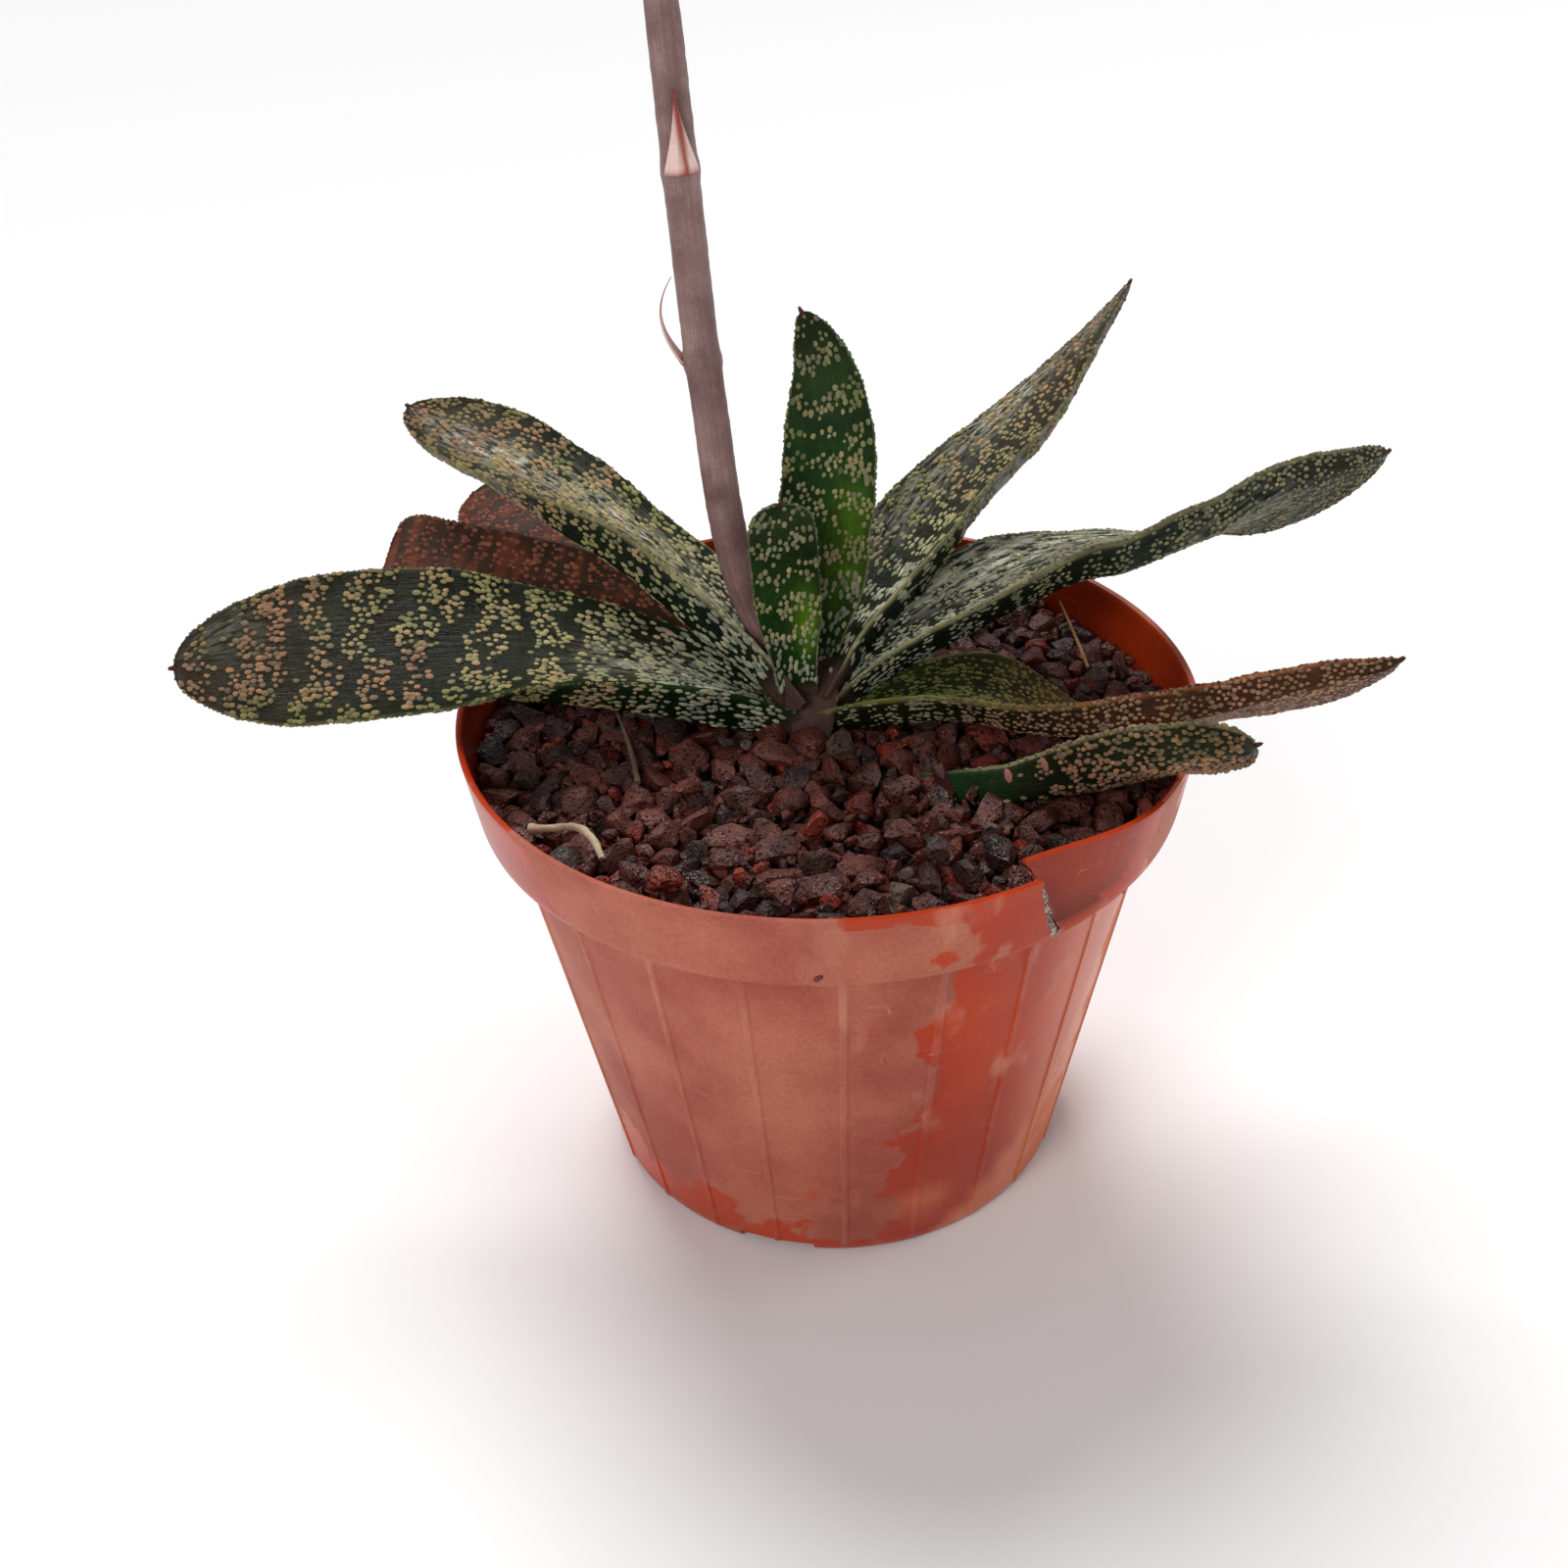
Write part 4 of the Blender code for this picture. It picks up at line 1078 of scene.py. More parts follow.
        # The inner wall is darkened, a quarter at the top and more strongly lower down.
        inner_darkening = np.where(inside & (height < self.height - 0.4), 0.25 + 0.6 * smooth_step(96.0, 84.0, height),
                        0.0)
        Bench.number(pot, "dust_and_sheen", np.where(inside, 0.1, dust_and_sheen))
        Bench.number(pot, "scuff", np.where(inside, 0.0, smooth_step(-20.0, 25.0, front)
                                            * smooth_step(80.0, 50.0, front)))
        # Painted sheen: right of a line that leans with height the body is painted paler as if lit; one pale
        # spot low on the front takes the same colour.
        edge = 22.0 + 40.0 * (1.0 - np.exp(-height / 24.0))
        sheen_and_pale_spot = (smooth_step(-2.5, 2.5, front - edge)
                 * smooth_step(self.band_foot, self.band_foot - 4.0, height))
        blob = np.exp(-((((front - 19.5) * 0.85) ** 2 + (height - 13.5) ** 2) / 30.0) ** 2) * 0.6
        sheen_and_pale_spot = np.maximum(sheen_and_pale_spot * 0.8, 0.4 * smooth_step(36.0, 50.0, front) * (height < self.band_foot))
        sheen_and_pale_spot = np.maximum(sheen_and_pale_spot * smooth_step(115.0, 85.0, front), blob)
        Bench.number(pot, "sheen_and_pale_spot", np.where(inside, 0.0, sheen_and_pale_spot))
        Bench.number(pot, "inner_darkening", inner_darkening)

    def build(self) -> bpy.types.Object:
        """Model the pot.

        Returns:
            The finished piece.
        """
        pot = self._spun()
        places = Bench.points(pot) / MM
        radius, height = np.hypot(places[:, 0], places[:, 1]), places[:, 2]
        step = 360.0 / self.columns
        index = np.round(np.degrees(np.arctan2(places[:, 1], places[:, 0])) / step).astype(int) % self.columns
        angle = self._turned(index, height)
        slot = index % self.columns_per_rib
        outer = np.array([abs(r - self.body_radius(z)) < 0.2 for r, z in zip(radius, height)])
        on_rib = outer & ((slot == 1) | (slot == 2)) & (height > 1.0) & (height < self.band_foot - 1.5)
        proud = np.where(on_rib, self.rib_proud, 0.0)
        Bench.number(pot, "rib", on_rib * (0.3 + 0.7 * smooth_step(52.0, 80.0, height)))
        wrapped = (angle - self.crack_foot + 180.0) % 360.0 - 180.0 + self.crack_foot
        radius = radius + proud - self.dented(wrapped, height) * (radius > 30.0)
        sway = 0.35 * np.sin(np.radians(2.0 * angle + 40.0)) * smooth_step(60.0, 102.0, height)
        radius = np.where(radius > 30.0, radius + sway, radius)
        turn = np.radians(angle)
        Bench.moved(pot, np.stack([radius * np.cos(turn), radius * np.sin(turn), height], axis=1) * MM)
        torn = self._open_split(pot, index)
        Bench.number(pot, "tear", torn)
        self._drained(pot)
        self._marks(pot)
        Bench.smooth(pot, 32.0)
        return pot


# ------------------------------------------------------------------------------- gravel
class Lava(Enum):
    """Kinds of lava grain: name, share of the grains, light colour and deep colour."""

    BROWN = ("lava_brown", 0.60, linear(0.44, 0.25, 0.20), linear(0.29, 0.13, 0.10))
    DARK = ("lava_dark", 0.20, linear(0.31, 0.21, 0.20), linear(0.18, 0.11, 0.11))
    RED = ("lava_red", 0.16, linear(0.56, 0.22, 0.13), linear(0.36, 0.12, 0.07))
    GREY = ("lava_grey", 0.04, linear(0.40, 0.37, 0.34), linear(0.26, 0.22, 0.20))


@dataclass
class GravelBed:
    """Lava gravel: a dark bed in painted shade, layers of loose grains and a few large ones. Millimetres."""

    pot: NurseryPot
    crown: tuple[float, float]
    drop: float = 9.0
    mound: float = 2.5
    depth: float = 11.0
    shapes: int = 12
    largest: float = 4.2
    smallest: float = 1.0
    tries: int = 9000
    closeness: float = 0.8
    seed: int = 11

    def surface(self, radius: np.ndarray | float) -> np.ndarray:
        """Height of the gravel at a distance from the pot's axis."""
        edge = self.pot.inner_radius(self.pot.height - self.drop)
        share = np.minimum(1.0, np.asarray(radius) / edge)
        return self.pot.height - self.drop + self.mound * np.cos(0.5 * np.pi * share)

    def grain_shapes(self) -> list[tuple[np.ndarray, list[list[int]]]]:
        """Model the broken grain shapes that are copied.

        Returns:
            Points and faces of each shape, about one unit in radius.
        """
        rng = random.Random(self.seed)
        shapes = []
        for n in range(self.shapes):
            Bench.clear()
            bpy.ops.mesh.primitive_ico_sphere_add(subdivisions=2, radius=1.0)
            grain = Bench.named(f"grain_{n}")
            points = Bench.points(grain)
            stretch = np.array([rng.uniform(0.9, 1.3), rng.uniform(0.75, 1.0), rng.uniform(0.65, 0.95)])
            points = self.chipped(points, rng, 6, (0.42, 0.72), 0.9)
            lumps = 1.0 + 0.20 * ripple(points, 1.7, n) + 0.16 * ripple(points, 3.9, n + 30)
            Bench.moved(grain, points * lumps[:, None] * stretch)
            Bench.edit(grain, lambda: bpy.ops.mesh.normals_make_consistent(inside=False))
            faces = [list(face.vertices) for face in grain.data.polygons]
            shapes.append((Bench.points(grain), faces))
            bpy.data.objects.remove(grain, do_unlink=True)
        return shapes

    @staticmethod
    def chipped(points: np.ndarray, rng: random.Random, chips: int, reach: tuple[float, float],
                depth: float) -> np.ndarray:
        """Flatten a round shape from several sides, as if chips had broken off.

        Args:
            points: The shape's points, about one unit from its middle.
            rng: The source of chance.
            chips: How many flat sides.
            reach: Range of the flat sides' distances from the middle.
            depth: 1 for quite flat sides.

        Returns:
            The chipped points.
        """
        for _ in range(chips):
            way = np.array([rng.gauss(0, 1), rng.gauss(0, 1), rng.gauss(0, 1)])
            way /= np.linalg.norm(way)
            over = np.clip(points @ way - rng.uniform(*reach), 0.0, None)
            points = points - depth * over[:, None] * way
        return points

    def _layer(self, rng: random.Random, sink: float, radii: np.ndarray, clear_crown: float
               ) -> tuple[np.ndarray, np.ndarray]:
        """Throw grains on one layer, largest first, each where it fits.

        Args:
            rng: The source of chance.
            sink: How far the layer lies under the surface.
            radii: The sizes that are tried, in falling order.
            clear_crown: Room left round the plant.

        Returns:
            The grains' places and radii.
        """
        places, kept = np.zeros((0, 3)), np.zeros(0)
        for radius in radii:
            angle, out = rng.uniform(-180.0, 180.0), math.sqrt(rng.random())
            level = float(self.surface(out * 62.0)) - sink
            reach = self.pot.inner_radius(level) - 0.75 * radius
            reach -= float(self.pot.dented(np.array(angle), np.array(level + 2.0)))
            x, y = out * reach * math.cos(math.radians(angle)), out * reach * math.sin(math.radians(angle))
            if math.hypot(x - self.crown[0], y - self.crown[1]) < clear_crown:
                continue
            gap = np.hypot(places[:, 0] - x, places[:, 1] - y) if len(places) else np.array([99.0])
            if len(places) and np.any(gap < self.closeness * (kept + radius)):
                continue
            level = float(self.surface(math.hypot(x, y))) - sink - 0.35 * radius + rng.uniform(-0.5, 0.6)
            places = np.vstack([places, [x, y, level]])
            kept = np.append(kept, radius)
        return places, kept

    def grains(self) -> dict[Lava, bpy.types.Object]:
        """Scatter the loose grains.

        Returns:
            One piece per kind of lava.
        """
        rng = random.Random(self.seed)
        falling = np.linspace(0.0, 1.0, self.tries) ** 0.42
        sizes = self.largest + (self.smallest - self.largest) * falling
        layers = [self._layer(rng, 0.0, sizes, 9.0),
                  self._layer(rng, 1.4, sizes[self.tries // 3:], 9.0),
                  self._layer(rng, 3.6, sizes[: self.tries // 2], 7.0)]
        places = np.vstack([layer[0] for layer in layers])
        radii = np.concatenate([layer[1] for layer in layers])
        kinds = rng.choices(list(Lava), weights=[kind.value[1] for kind in Lava], k=len(places))
        shapes = self.grain_shapes()
        pieces = {}
        for kind in Lava:
            parts = []
            for n, shape in enumerate(shapes):
                chosen = [i for i, which in enumerate(kinds) if which is kind and i % len(shapes) == n]
                if not chosen:
                    continue
                frames = np.array([np.array(Matrix.Rotation(rng.uniform(0, 6.28), 3, "Z")
                                            @ Matrix.Rotation(rng.uniform(-0.7, 0.7), 3, "X")
                                            @ Matrix.Rotation(rng.uniform(-0.7, 0.7), 3, "Y"))
                            for _ in chosen])
                scale = np.repeat(radii[chosen, None], 3, axis=1) * MM * 1.14
                part = Bench.copies(f"{kind.value[0]}_{n}", shape, places[chosen] * MM, frames, scale)
                shade = np.array([rng.uniform(0.62, 1.3) for _ in chosen])
                warm = np.array([rng.uniform(-0.06, 0.06) for _ in chosen])
                tints = np.stack([shade + warm, shade, shade - warm], axis=1)
                Bench.tint(part, "stone_tint", np.repeat(tints, len(shape[0]), axis=0))
                parts.append(part)
            piece = Bench.joined(kind.value[0], parts)
            Bench.smooth(piece, 22.0)
            pieces[kind] = piece
        LOG.info("%d loose grains", len(places))
        return pieces

    def bed(self) -> bpy.types.Object:
        """Model the rough bed under the grains, dark as painted shade in the gaps.

        Returns:
            The bed as a closed disc.
        """
        sides, levels = 120, []
        low = self.pot.height - self.drop - self.depth
        angles = np.linspace(-180.0, 180.0, sides, endpoint=False)
        turn = np.radians(angles)
        for out, sink, upper in ((0.12, 0.0, False), (0.6, 0.0, False), (0.985, 0.0, False),
                                 (0.985, 4.0, True),
                                 (0.92, 3.4, True), (0.8, 3.4, True), (0.65, 3.4, True), (0.5, 3.4, True),
                                 (0.35, 3.4, True), (0.2, 3.4, True), (0.08, 3.4, True)):
            level = float(self.surface(out * 66.0)) - sink if upper else low
            reach = self.pot.inner_radius(level) - 0.4 - self.pot.dented(angles, np.full(sides, level + 1.0))
            ring = np.stack([out * reach * np.cos(turn), out * reach * np.sin(turn), np.full(sides, level)],
                            1)
            if upper:
                ring[:, 2] += 0.7 * ripple(ring, 0.35, 2.0)
            levels.append(ring)
        bed = Bench.wrapped("gravel_bed_in_painted_shade", np.array(levels) * MM)
        # Painted shade: the bed is darkened to half, for the shade in the gaps between the grains.
        Bench.tint(bed, "stone_tint", np.full((len(bed.data.vertices), 3), 0.5))
        Bench.smooth(bed, 60.0)
        return bed

    def large_grain(self, node: str, seed: int) -> bpy.types.Object:
        """Model one of the large grains in the room of its node.

        Args:
            node: The node that it stands for.
            seed: Gives it its own shape.

        Returns:
            The grain.
        """
        low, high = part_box(node)
        rng = random.Random(seed)
        middle = [0.5 * (a + b) for a, b in zip(low, high)]
        half = [0.5 * (b - a) for a, b in zip(low, high)]
        Bench.clear()
        bpy.ops.mesh.primitive_ico_sphere_add(subdivisions=3, radius=1.0)
        grain = Bench.named(f"large_grain_{node.rsplit('_', 1)[1]}")
        points = Bench.points(grain)
        points = self.chipped(points, rng, 8, (0.42, 0.7), 0.92)
        points = points * (1.0 + 0.14 * ripple(points, 2.6, seed) + 0.07 * ripple(points, 7.0, seed))[:, None]
        points = points / np.abs(points).max(axis=0) * np.array(half) + np.array(middle)
        Bench.moved(grain, points)
        shade = rng.uniform(0.8, 1.25)
        Bench.tint(grain, "stone_tint", np.full((len(points), 3), shade))
        Bench.smooth(grain, 22.0)
        return grain


# ------------------------------------------------------------------------------- leaves
@dataclass(frozen=True)
class Warts:
    """Raised pale dots in wavy bands across a leaf. Lengths in millimetres.

    Attributes:
        fill: Share of places taken on the outer leaf; base_fill is the same near the base.
        filling: Shares of the leaf's length between which base_fill turns into fill.
        under: Share of the dots that the lower face keeps.
        fade: How much darker the dots are at the tip.
        top: Tint multiplied into the dots of the upper face.
        scar: Size of the round marks where something has rubbed, along their three axes.
    """

    spacing: float = 1.3
    radius: tuple[float, float] = (0.36, 0.62)
    proud: float = 0.45
    band: float = 9.0
    banding: float = 0.85
    fill: float = 0.66
    base_fill: float = 0.84
    under: float = 0.5
    fade: float = 0.2
    near: Colour = linear(0.84, 0.85, 0.74)
    middle: Colour = linear(0.86, 0.82, 0.60)
    far: Colour = linear(0.82, 0.64, 0.51)
    top: Colour = (1.0, 1.0, 1.0)
    filling: tuple[float, float] = (0.1, 0.42)
    leafy: Colour = linear(0.58, 0.61, 0.36)
    rim_dot: Colour = linear(0.68, 0.65, 0.54)
    scar: tuple[float, float, float] = (1.5, 0.9, 0.25)
    scar_tint: Colour = linear(0.86, 0.58, 0.52)


@dataclass(frozen=True)
class Skin:
    """Colours of a leaf's skin, from its base to its tip.

    Attributes:
        edge: Colour of the margin; edge_base is the same at the foot.
        stripes: Strength of the bars across the leaf, in stripe_tint.
        painted_sheen: Patches of painted sheen, a pale streaky film for reflected light: share of the
        length, place across, reach, spread and strength. A negative strength puts the patch on the
        lower face.
    """

    deep: Colour = linear(0.09, 0.08, 0.035)
    fresh: Colour = linear(0.08, 0.14, 0.04)
    edge: Colour = linear(0.56, 0.53, 0.40)
    edge_base: Colour = linear(0.68, 0.66, 0.50)
    under: Colour = linear(0.05, 0.12, 0.07)
    flush: Colour = linear(0.21, 0.16, 0.10)
    flush_from: float = 0.85
    flush_strength: float = 0.6
    sheath: Colour = linear(0.34, 0.25, 0.235)
    # glow and glow_tint: strength and colour of a painted highlight, a lit green patch on one side.
    glow: float = 0.0
    glow_tint: Colour = linear(0.40, 0.58, 0.10)
    stripes: float = 0.0
    stripe_tint: Colour = linear(0.44, 0.17, 0.12)
    painted_sheen: Sequence[tuple[float, float, float, float, float]] = ()


@dataclass(frozen=True)
class LeafShape:
    """A leaf's outline: its spine in its own upright plane, and profiles along it. Millimetres."""

    node: str
    turn: float
    spine: Sequence[tuple[float, float, float]]
    half_width: Pairs
    roll: Pairs
    depth: Pairs
    channel: Pairs
    taper: float = 0.7
    tip_power: float = 2.2
    tip_round: float = 2.0
    keel: float = 0.5
    keel_power: float = 1.25
    root: tuple[float, float, float] | None = None
    warts: Warts = Warts()
    skin: Skin = Skin()
    reach_in: float = 7.0
    sheath_share: float = 0.035
    point: float = 1.3
    scars: Sequence[tuple[float, float]] = ()


@dataclass
class Leaf:
    """Builds one leaf: its body, its warts, its toothed margins and its pointed tip."""

    shape: LeafShape
    crown: tuple[float, float, float]
    sections: int = 120
    columns: int = 23
    margin: float = 0.65
    seed: int = 1

    def _section(self, across: np.ndarray, widths: np.ndarray, depths: np.ndarray, hollows: np.ndarray
                 ) -> tuple[np.ndarray, np.ndarray]:
        """Heights of the upper and lower face across the leaf.

        Args:
            across: Places across, -1 to 1.
            widths: Half width of each section.
            depths: Depth of each section.
            hollows: Hollow of the upper face of each section.

        Returns:
            The upper and the lower heights, sections by columns.
        """
        edge = np.minimum(1.0, 0.5 * depths)[:, None]
        keel = self.shape.keel
        room = np.where(across < keel, 1.0 + keel, 1.0 - keel)
        hump = 1.0 - (np.abs(across - keel) / room) ** self.shape.keel_power
        top = -hollows[:, None] * (1.0 - across**2)[None, :]
        bottom = np.minimum(-edge - depths[:, None] * hump[None, :], top - 0.8 * edge)
        inward = np.minimum(self.margin, 0.4 * widths)[:, None]
        late = np.clip((np.abs(across)[None, :] * widths[:, None] - widths[:, None] + inward) / inward, 0.0,
                       1.0)
        lift = 0.5 * (1.0 - np.sqrt(np.maximum(1.0 - late**2, 0.0)))
        room_left = top - bottom
        return top - lift * room_left, bottom + lift * room_left

    def rings(self) -> tuple[np.ndarray, np.ndarray, np.ndarray]:
        """Lay out the leaf's points.

        Returns:
            The rings of points in millimetres, the sections' shares of the length, and the places across.
        """
        shape = self.shape
        turn = math.radians(shape.turn)
        out = np.array([math.cos(turn), math.sin(turn), 0.0])
        aside = np.array([-math.sin(turn), math.cos(turn), 0.0])
        up = np.array([0.0, 0.0, 1.0])
        root = np.array(shape.root or self.crown)
        route = Route([root + out * a + aside * b + up * c for a, b, c in shape.spine])
        even = np.linspace(0.0, 1.0, self.sections)
        start = -shape.reach_in / route.length
        shares = start + (1.0 - start) * (1.0 - (1.0 - even) ** 1.25)
        place, direction = route.at(shares)
        side = aside - direction * (direction @ aside)[:, None]
        side /= np.linalg.norm(side, axis=1)[:, None]
        normal = np.cross(direction, side)
        roll = np.radians(eased(shape.roll, shares))[:, None]
        side, normal = (side * np.cos(roll) + normal * np.sin(roll),
                        normal * np.cos(roll) - side * np.sin(roll))
        tip = np.clip((shares - shape.taper) / (1.0 - shape.taper), 0.0, 1.0)
        widths = eased(shape.half_width, shares)
        widths = widths * np.maximum(1.0 - tip**shape.tip_power, 0.0) ** (1.0 / shape.tip_round) + 0.3
        depths = eased(shape.depth, shares) * np.maximum(1.0 - tip**4, 0.0) ** 0.5 + 0.5
        hollows = eased(shape.channel, shares) * (1.0 - tip**2)
        across = np.sin(0.5 * np.pi * np.linspace(-1.0, 1.0, self.columns))
        top, bottom = self._section(across, widths, depths, hollows)
        along = (shares * route.length)[:, None] + 0.0 * across[None, :]
        wave_at = np.stack([along, across[None, :] * widths[:, None], np.full_like(along, self.seed * 9.0)],
                           -1)
        wave = ripple(wave_at.reshape(-1, 3), 0.11, self.seed).reshape(along.shape) * 0.45
        wave += ripple(wave_at.reshape(-1, 3), 0.45, self.seed + 5).reshape(along.shape) * 0.12
        calm = np.minimum(1.0, widths / 5.0)[:, None]
        sway = 1.0 + 0.035 * np.array([noise.noise(Vector((a * 0.16, self.seed * 3.0, 0.0)))
                                       for a in along[:, 0]])[:, None]
        spread = across[None, :] * widths[:, None] * sway
        upper = (place[:, None] + side[:, None] * spread[..., None]
                 + normal[:, None] * (top + wave * calm)[..., None])
        lower = (place[:, None] + side[:, None] * spread[..., None]
                 + normal[:, None] * (bottom + wave * calm)[..., None])
        ring = np.concatenate([upper, lower[:, -2:0:-1]], axis=1)
        return ring, shares, np.concatenate([across, across[-2:0:-1]])

    def skin_colours(self, places: np.ndarray, shares: np.ndarray, across: np.ndarray, lower: np.ndarray
                     ) -> np.ndarray:
        """Colour the skin along and across the leaf.

        Args:
            places: Points in millimetres.
            shares: Their shares of the length.
            across: Their places across.
            lower: 1 for points on the lower face.

        Returns:
            One linear colour per point.
        """
        skin = self.shape.skin
        blotch = 0.5 + 0.5 * ripple(places, 0.09, self.seed + 1)
        shade = np.array(skin.deep)[None, :] + (blotch**1.5)[:, None] * (
            np.array(skin.fresh) - np.array(skin.deep))[None, :]
        shade = shade + (lower * 0.75)[:, None] * (np.array(skin.under)[None, :] - shade)
        flush = smooth_step(skin.flush_from - 0.25, skin.flush_from + 0.15, shares + 0.1 * (blotch - 0.5))
        shade = (shade + (flush * skin.flush_strength * (1.0 - 0.3 * lower))[:, None]
                 * (np.array(skin.flush)[None, :] - shade))
        # Painted highlight: a lit green patch a third of the way along, on one side of the blade.
        lit = np.exp(-(((shares - 0.36) / 0.16) ** 2) - ((across + 0.55) / 0.4) ** 2) * (0.4 + 0.6 * blotch)
        shade = shade + (lit * skin.glow)[:, None] * (np.array(skin.glow_tint)[None, :] - shade)
        if skin.stripes:
            bars = np.stack([shares * 42.0, across * 1.6, np.full_like(shares, float(self.seed))], axis=1)
            bar = smooth_step(0.0, 0.45, ripple(bars, 1.0, self.seed)) * skin.stripes
            shade = shade + bar[:, None] * (np.array(skin.stripe_tint)[None, :] - shade)
        near = smooth_step(0.34, 0.10, shares) * (1.0 - lower)
        rim = smooth_step(0.955 - 0.05 * near, 0.995 - 0.03 * near, np.abs(across)) * (0.8 + 0.15 * near)
        line = np.array(skin.edge_base) + smooth_step(0.3, 0.6, shares)[:, None] * (
            np.array(skin.edge) - np.array(skin.edge_base))
        shade = shade + rim[:, None] * (line - shade)
        base = smooth_step(self.shape.sheath_share, -0.02, shares)
        return shade + (base * 0.9)[:, None] * (np.array(skin.sheath)[None, :] - shade)

    def painted_sheen_share(self, shares: np.ndarray, across: np.ndarray, lower: np.ndarray) -> np.ndarray:
        """How much painted sheen, a pale streaky film, lies on the skin.

        Args:
            shares: Shares of the length.
            across: Places across.
            lower: 1 for points on the lower face.

        Returns:
            One value per point, 0 to 1.
        """
        film = np.zeros(len(shares))
        for share, side, reach, spread, strength in self.shape.skin.painted_sheen:
            face = lower if strength < 0.0 else 1.0 - lower
            patch = np.exp(-(((shares - share) / reach) ** 2) - ((across - side) / spread) ** 2)
            film = np.maximum(film, patch * abs(strength) * face)
        return film

    def wart_spots(self, ring: np.ndarray, shares: np.ndarray) -> dict[str, np.ndarray]:
        """Choose where the warts stand.

        Args:
            ring: The leaf's rings of points.
            shares: The sections' shares of the length.

        Returns:
            Arrays of places, frames, sizes and colours.
        """
        rng = np.random.default_rng(100 + self.seed)
        warts, (rows, around) = self.shape.warts, ring.shape[:2]
        span = np.linalg.norm(ring[1:] - ring[:-1], axis=2)
        length = float(span[:, self.columns // 2].sum())
        girth = float(np.linalg.norm(np.diff(ring, axis=1), axis=2).sum(axis=1).max())
        tries = int(4.2 * length * girth / warts.spacing**2)
        closed = np.concatenate([ring, ring[:, :1]], axis=1)
        local_girth = np.linalg.norm(np.diff(closed, axis=1), axis=2).sum(axis=1) / girth
        kept, result = np.zeros((0, 3)), {"place": [], "frame": [], "size": [], "tint": []}
        rows_at = np.interp(rng.random(tries), np.cumsum(span[:, self.columns // 2]) / length,
                            np.arange(rows - 1)) + 0.5
        around_at = rng.random(tries) * around
        luck, sizes, hue = rng.random(tries), rng.random(tries), rng.normal(0.0, 1.0, tries)
        for n in range(tries):
            i, k = min(int(rows_at[n]), rows - 2), int(around_at[n]) % around
            s, t = rows_at[n] - int(rows_at[n]), around_at[n] - int(around_at[n])
            a, b, c, d = closed[i, k], closed[i, k + 1], closed[i + 1, k], closed[i + 1, k + 1]
            if np.linalg.norm(b - a) * around / girth < rng.random() * 0.9:
                continue
            place = (a * (1 - t) + b * t) * (1 - s) + (c * (1 - t) + d * t) * s
            share = shares[i]
            if share < 0.008 or share > 0.985:
                continue
            under = k >= self.columns - 1
            column = k + t if not under else 2 * (self.columns - 1) - (k + t)
            across = math.sin(0.5 * math.pi * (2.0 * column / (self.columns - 1) - 1.0))
            if share < 0.3 and abs(across) > 0.93 and not under:
                continue
            along = share * length
            face = self.seed * 2.3 + (40.0 if under else 0.0)
            phase = along / warts.band + 0.55 * noise.noise(Vector((along * 0.05, across * 1.6, face)))
            ridge = float(smooth_step(0.95, 0.25, abs(2.0 * (phase - math.floor(phase)) - 1.0)))
            clump = 0.5 + 1.1 * noise.noise(Vector((along * 0.42, across * 3.1, face + 9.0)))
            wish = ((1.0 - warts.banding) * clump
                    + warts.banding * (0.75 * ridge * (0.4 + clump) + 0.1 * clump))
            wish += 0.10 * (luck[n] - 0.5) + (0.45 if luck[n] > 0.988 else 0.0)
            full = (warts.base_fill
                    + (warts.fill - warts.base_fill) * float(smooth_step(*warts.filling, share)))
            if under:
                full *= warts.under
            if wish < 1.0 - full:
                continue
            pack = warts.spacing * (0.58 if wish > 0.72 else 0.8)
            if len(kept) and np.min(np.sum((kept - place) ** 2, axis=1)) < pack**2:
                continue
            kept = np.vstack([kept, place])
            flow = (c - a) / np.linalg.norm(c - a)
            normal = np.cross(b - a, flow)
            normal /= np.linalg.norm(normal)
            cross = np.cross(flow, normal)
            size = warts.radius[0] + (warts.radius[1] - warts.radius[0]) * sizes[n]
            size *= 0.8 + 0.2 * min(1.0, local_girth[i] * 1.5)
            result["place"].append(place)
            result["frame"].append([cross, flow, normal])
            longer = 1.0 + 0.4 * luck[n] + 0.55 * sizes[n] * float(smooth_step(0.45, 0.12, share))
            result["size"].append([size * (1.25 - 0.25 * longer), size * longer, size * warts.proud])
            patch = 0.5 + 0.9 * noise.noise(Vector((along * 0.09, across * 1.2, face + 20.0)))
            blend = (float(smooth_step(0.12, 0.4, share)),
                     float(smooth_step(0.35, 0.95, share * 0.8 + patch * 0.5 + 0.08 * hue[n] - 0.1)),
                     float(smooth_step(0.5, 1.05, 0.6 * abs(across) + 0.6 * (1.0 - patch))) * 0.7)
            tint = np.array(warts.near) * (1 - blend[0]) + np.array(warts.middle) * blend[0]
            tint = tint * (1 - blend[1]) + np.array(warts.far) * blend[1]
            tint = tint * (1 - blend[2] * blend[0]) + np.array(warts.leafy) * blend[2] * blend[0]
            tint = tint * (1.0 + 0.2 * hue[n]) * np.array([1.0 + 0.04 * hue[n], 1.0, 1.0 - 0.06 * hue[n]])
            tint *= 1.0 - warts.fade * float(smooth_step(0.6, 1.0, share))
            if not under:
                tint = tint * np.array(warts.top)
            result["tint"].append(np.clip(tint, 0.02, 0.9))
        self._margin_teeth(ring, shares, result, rng)
        return {key: np.array(value) for key, value in result.items()}

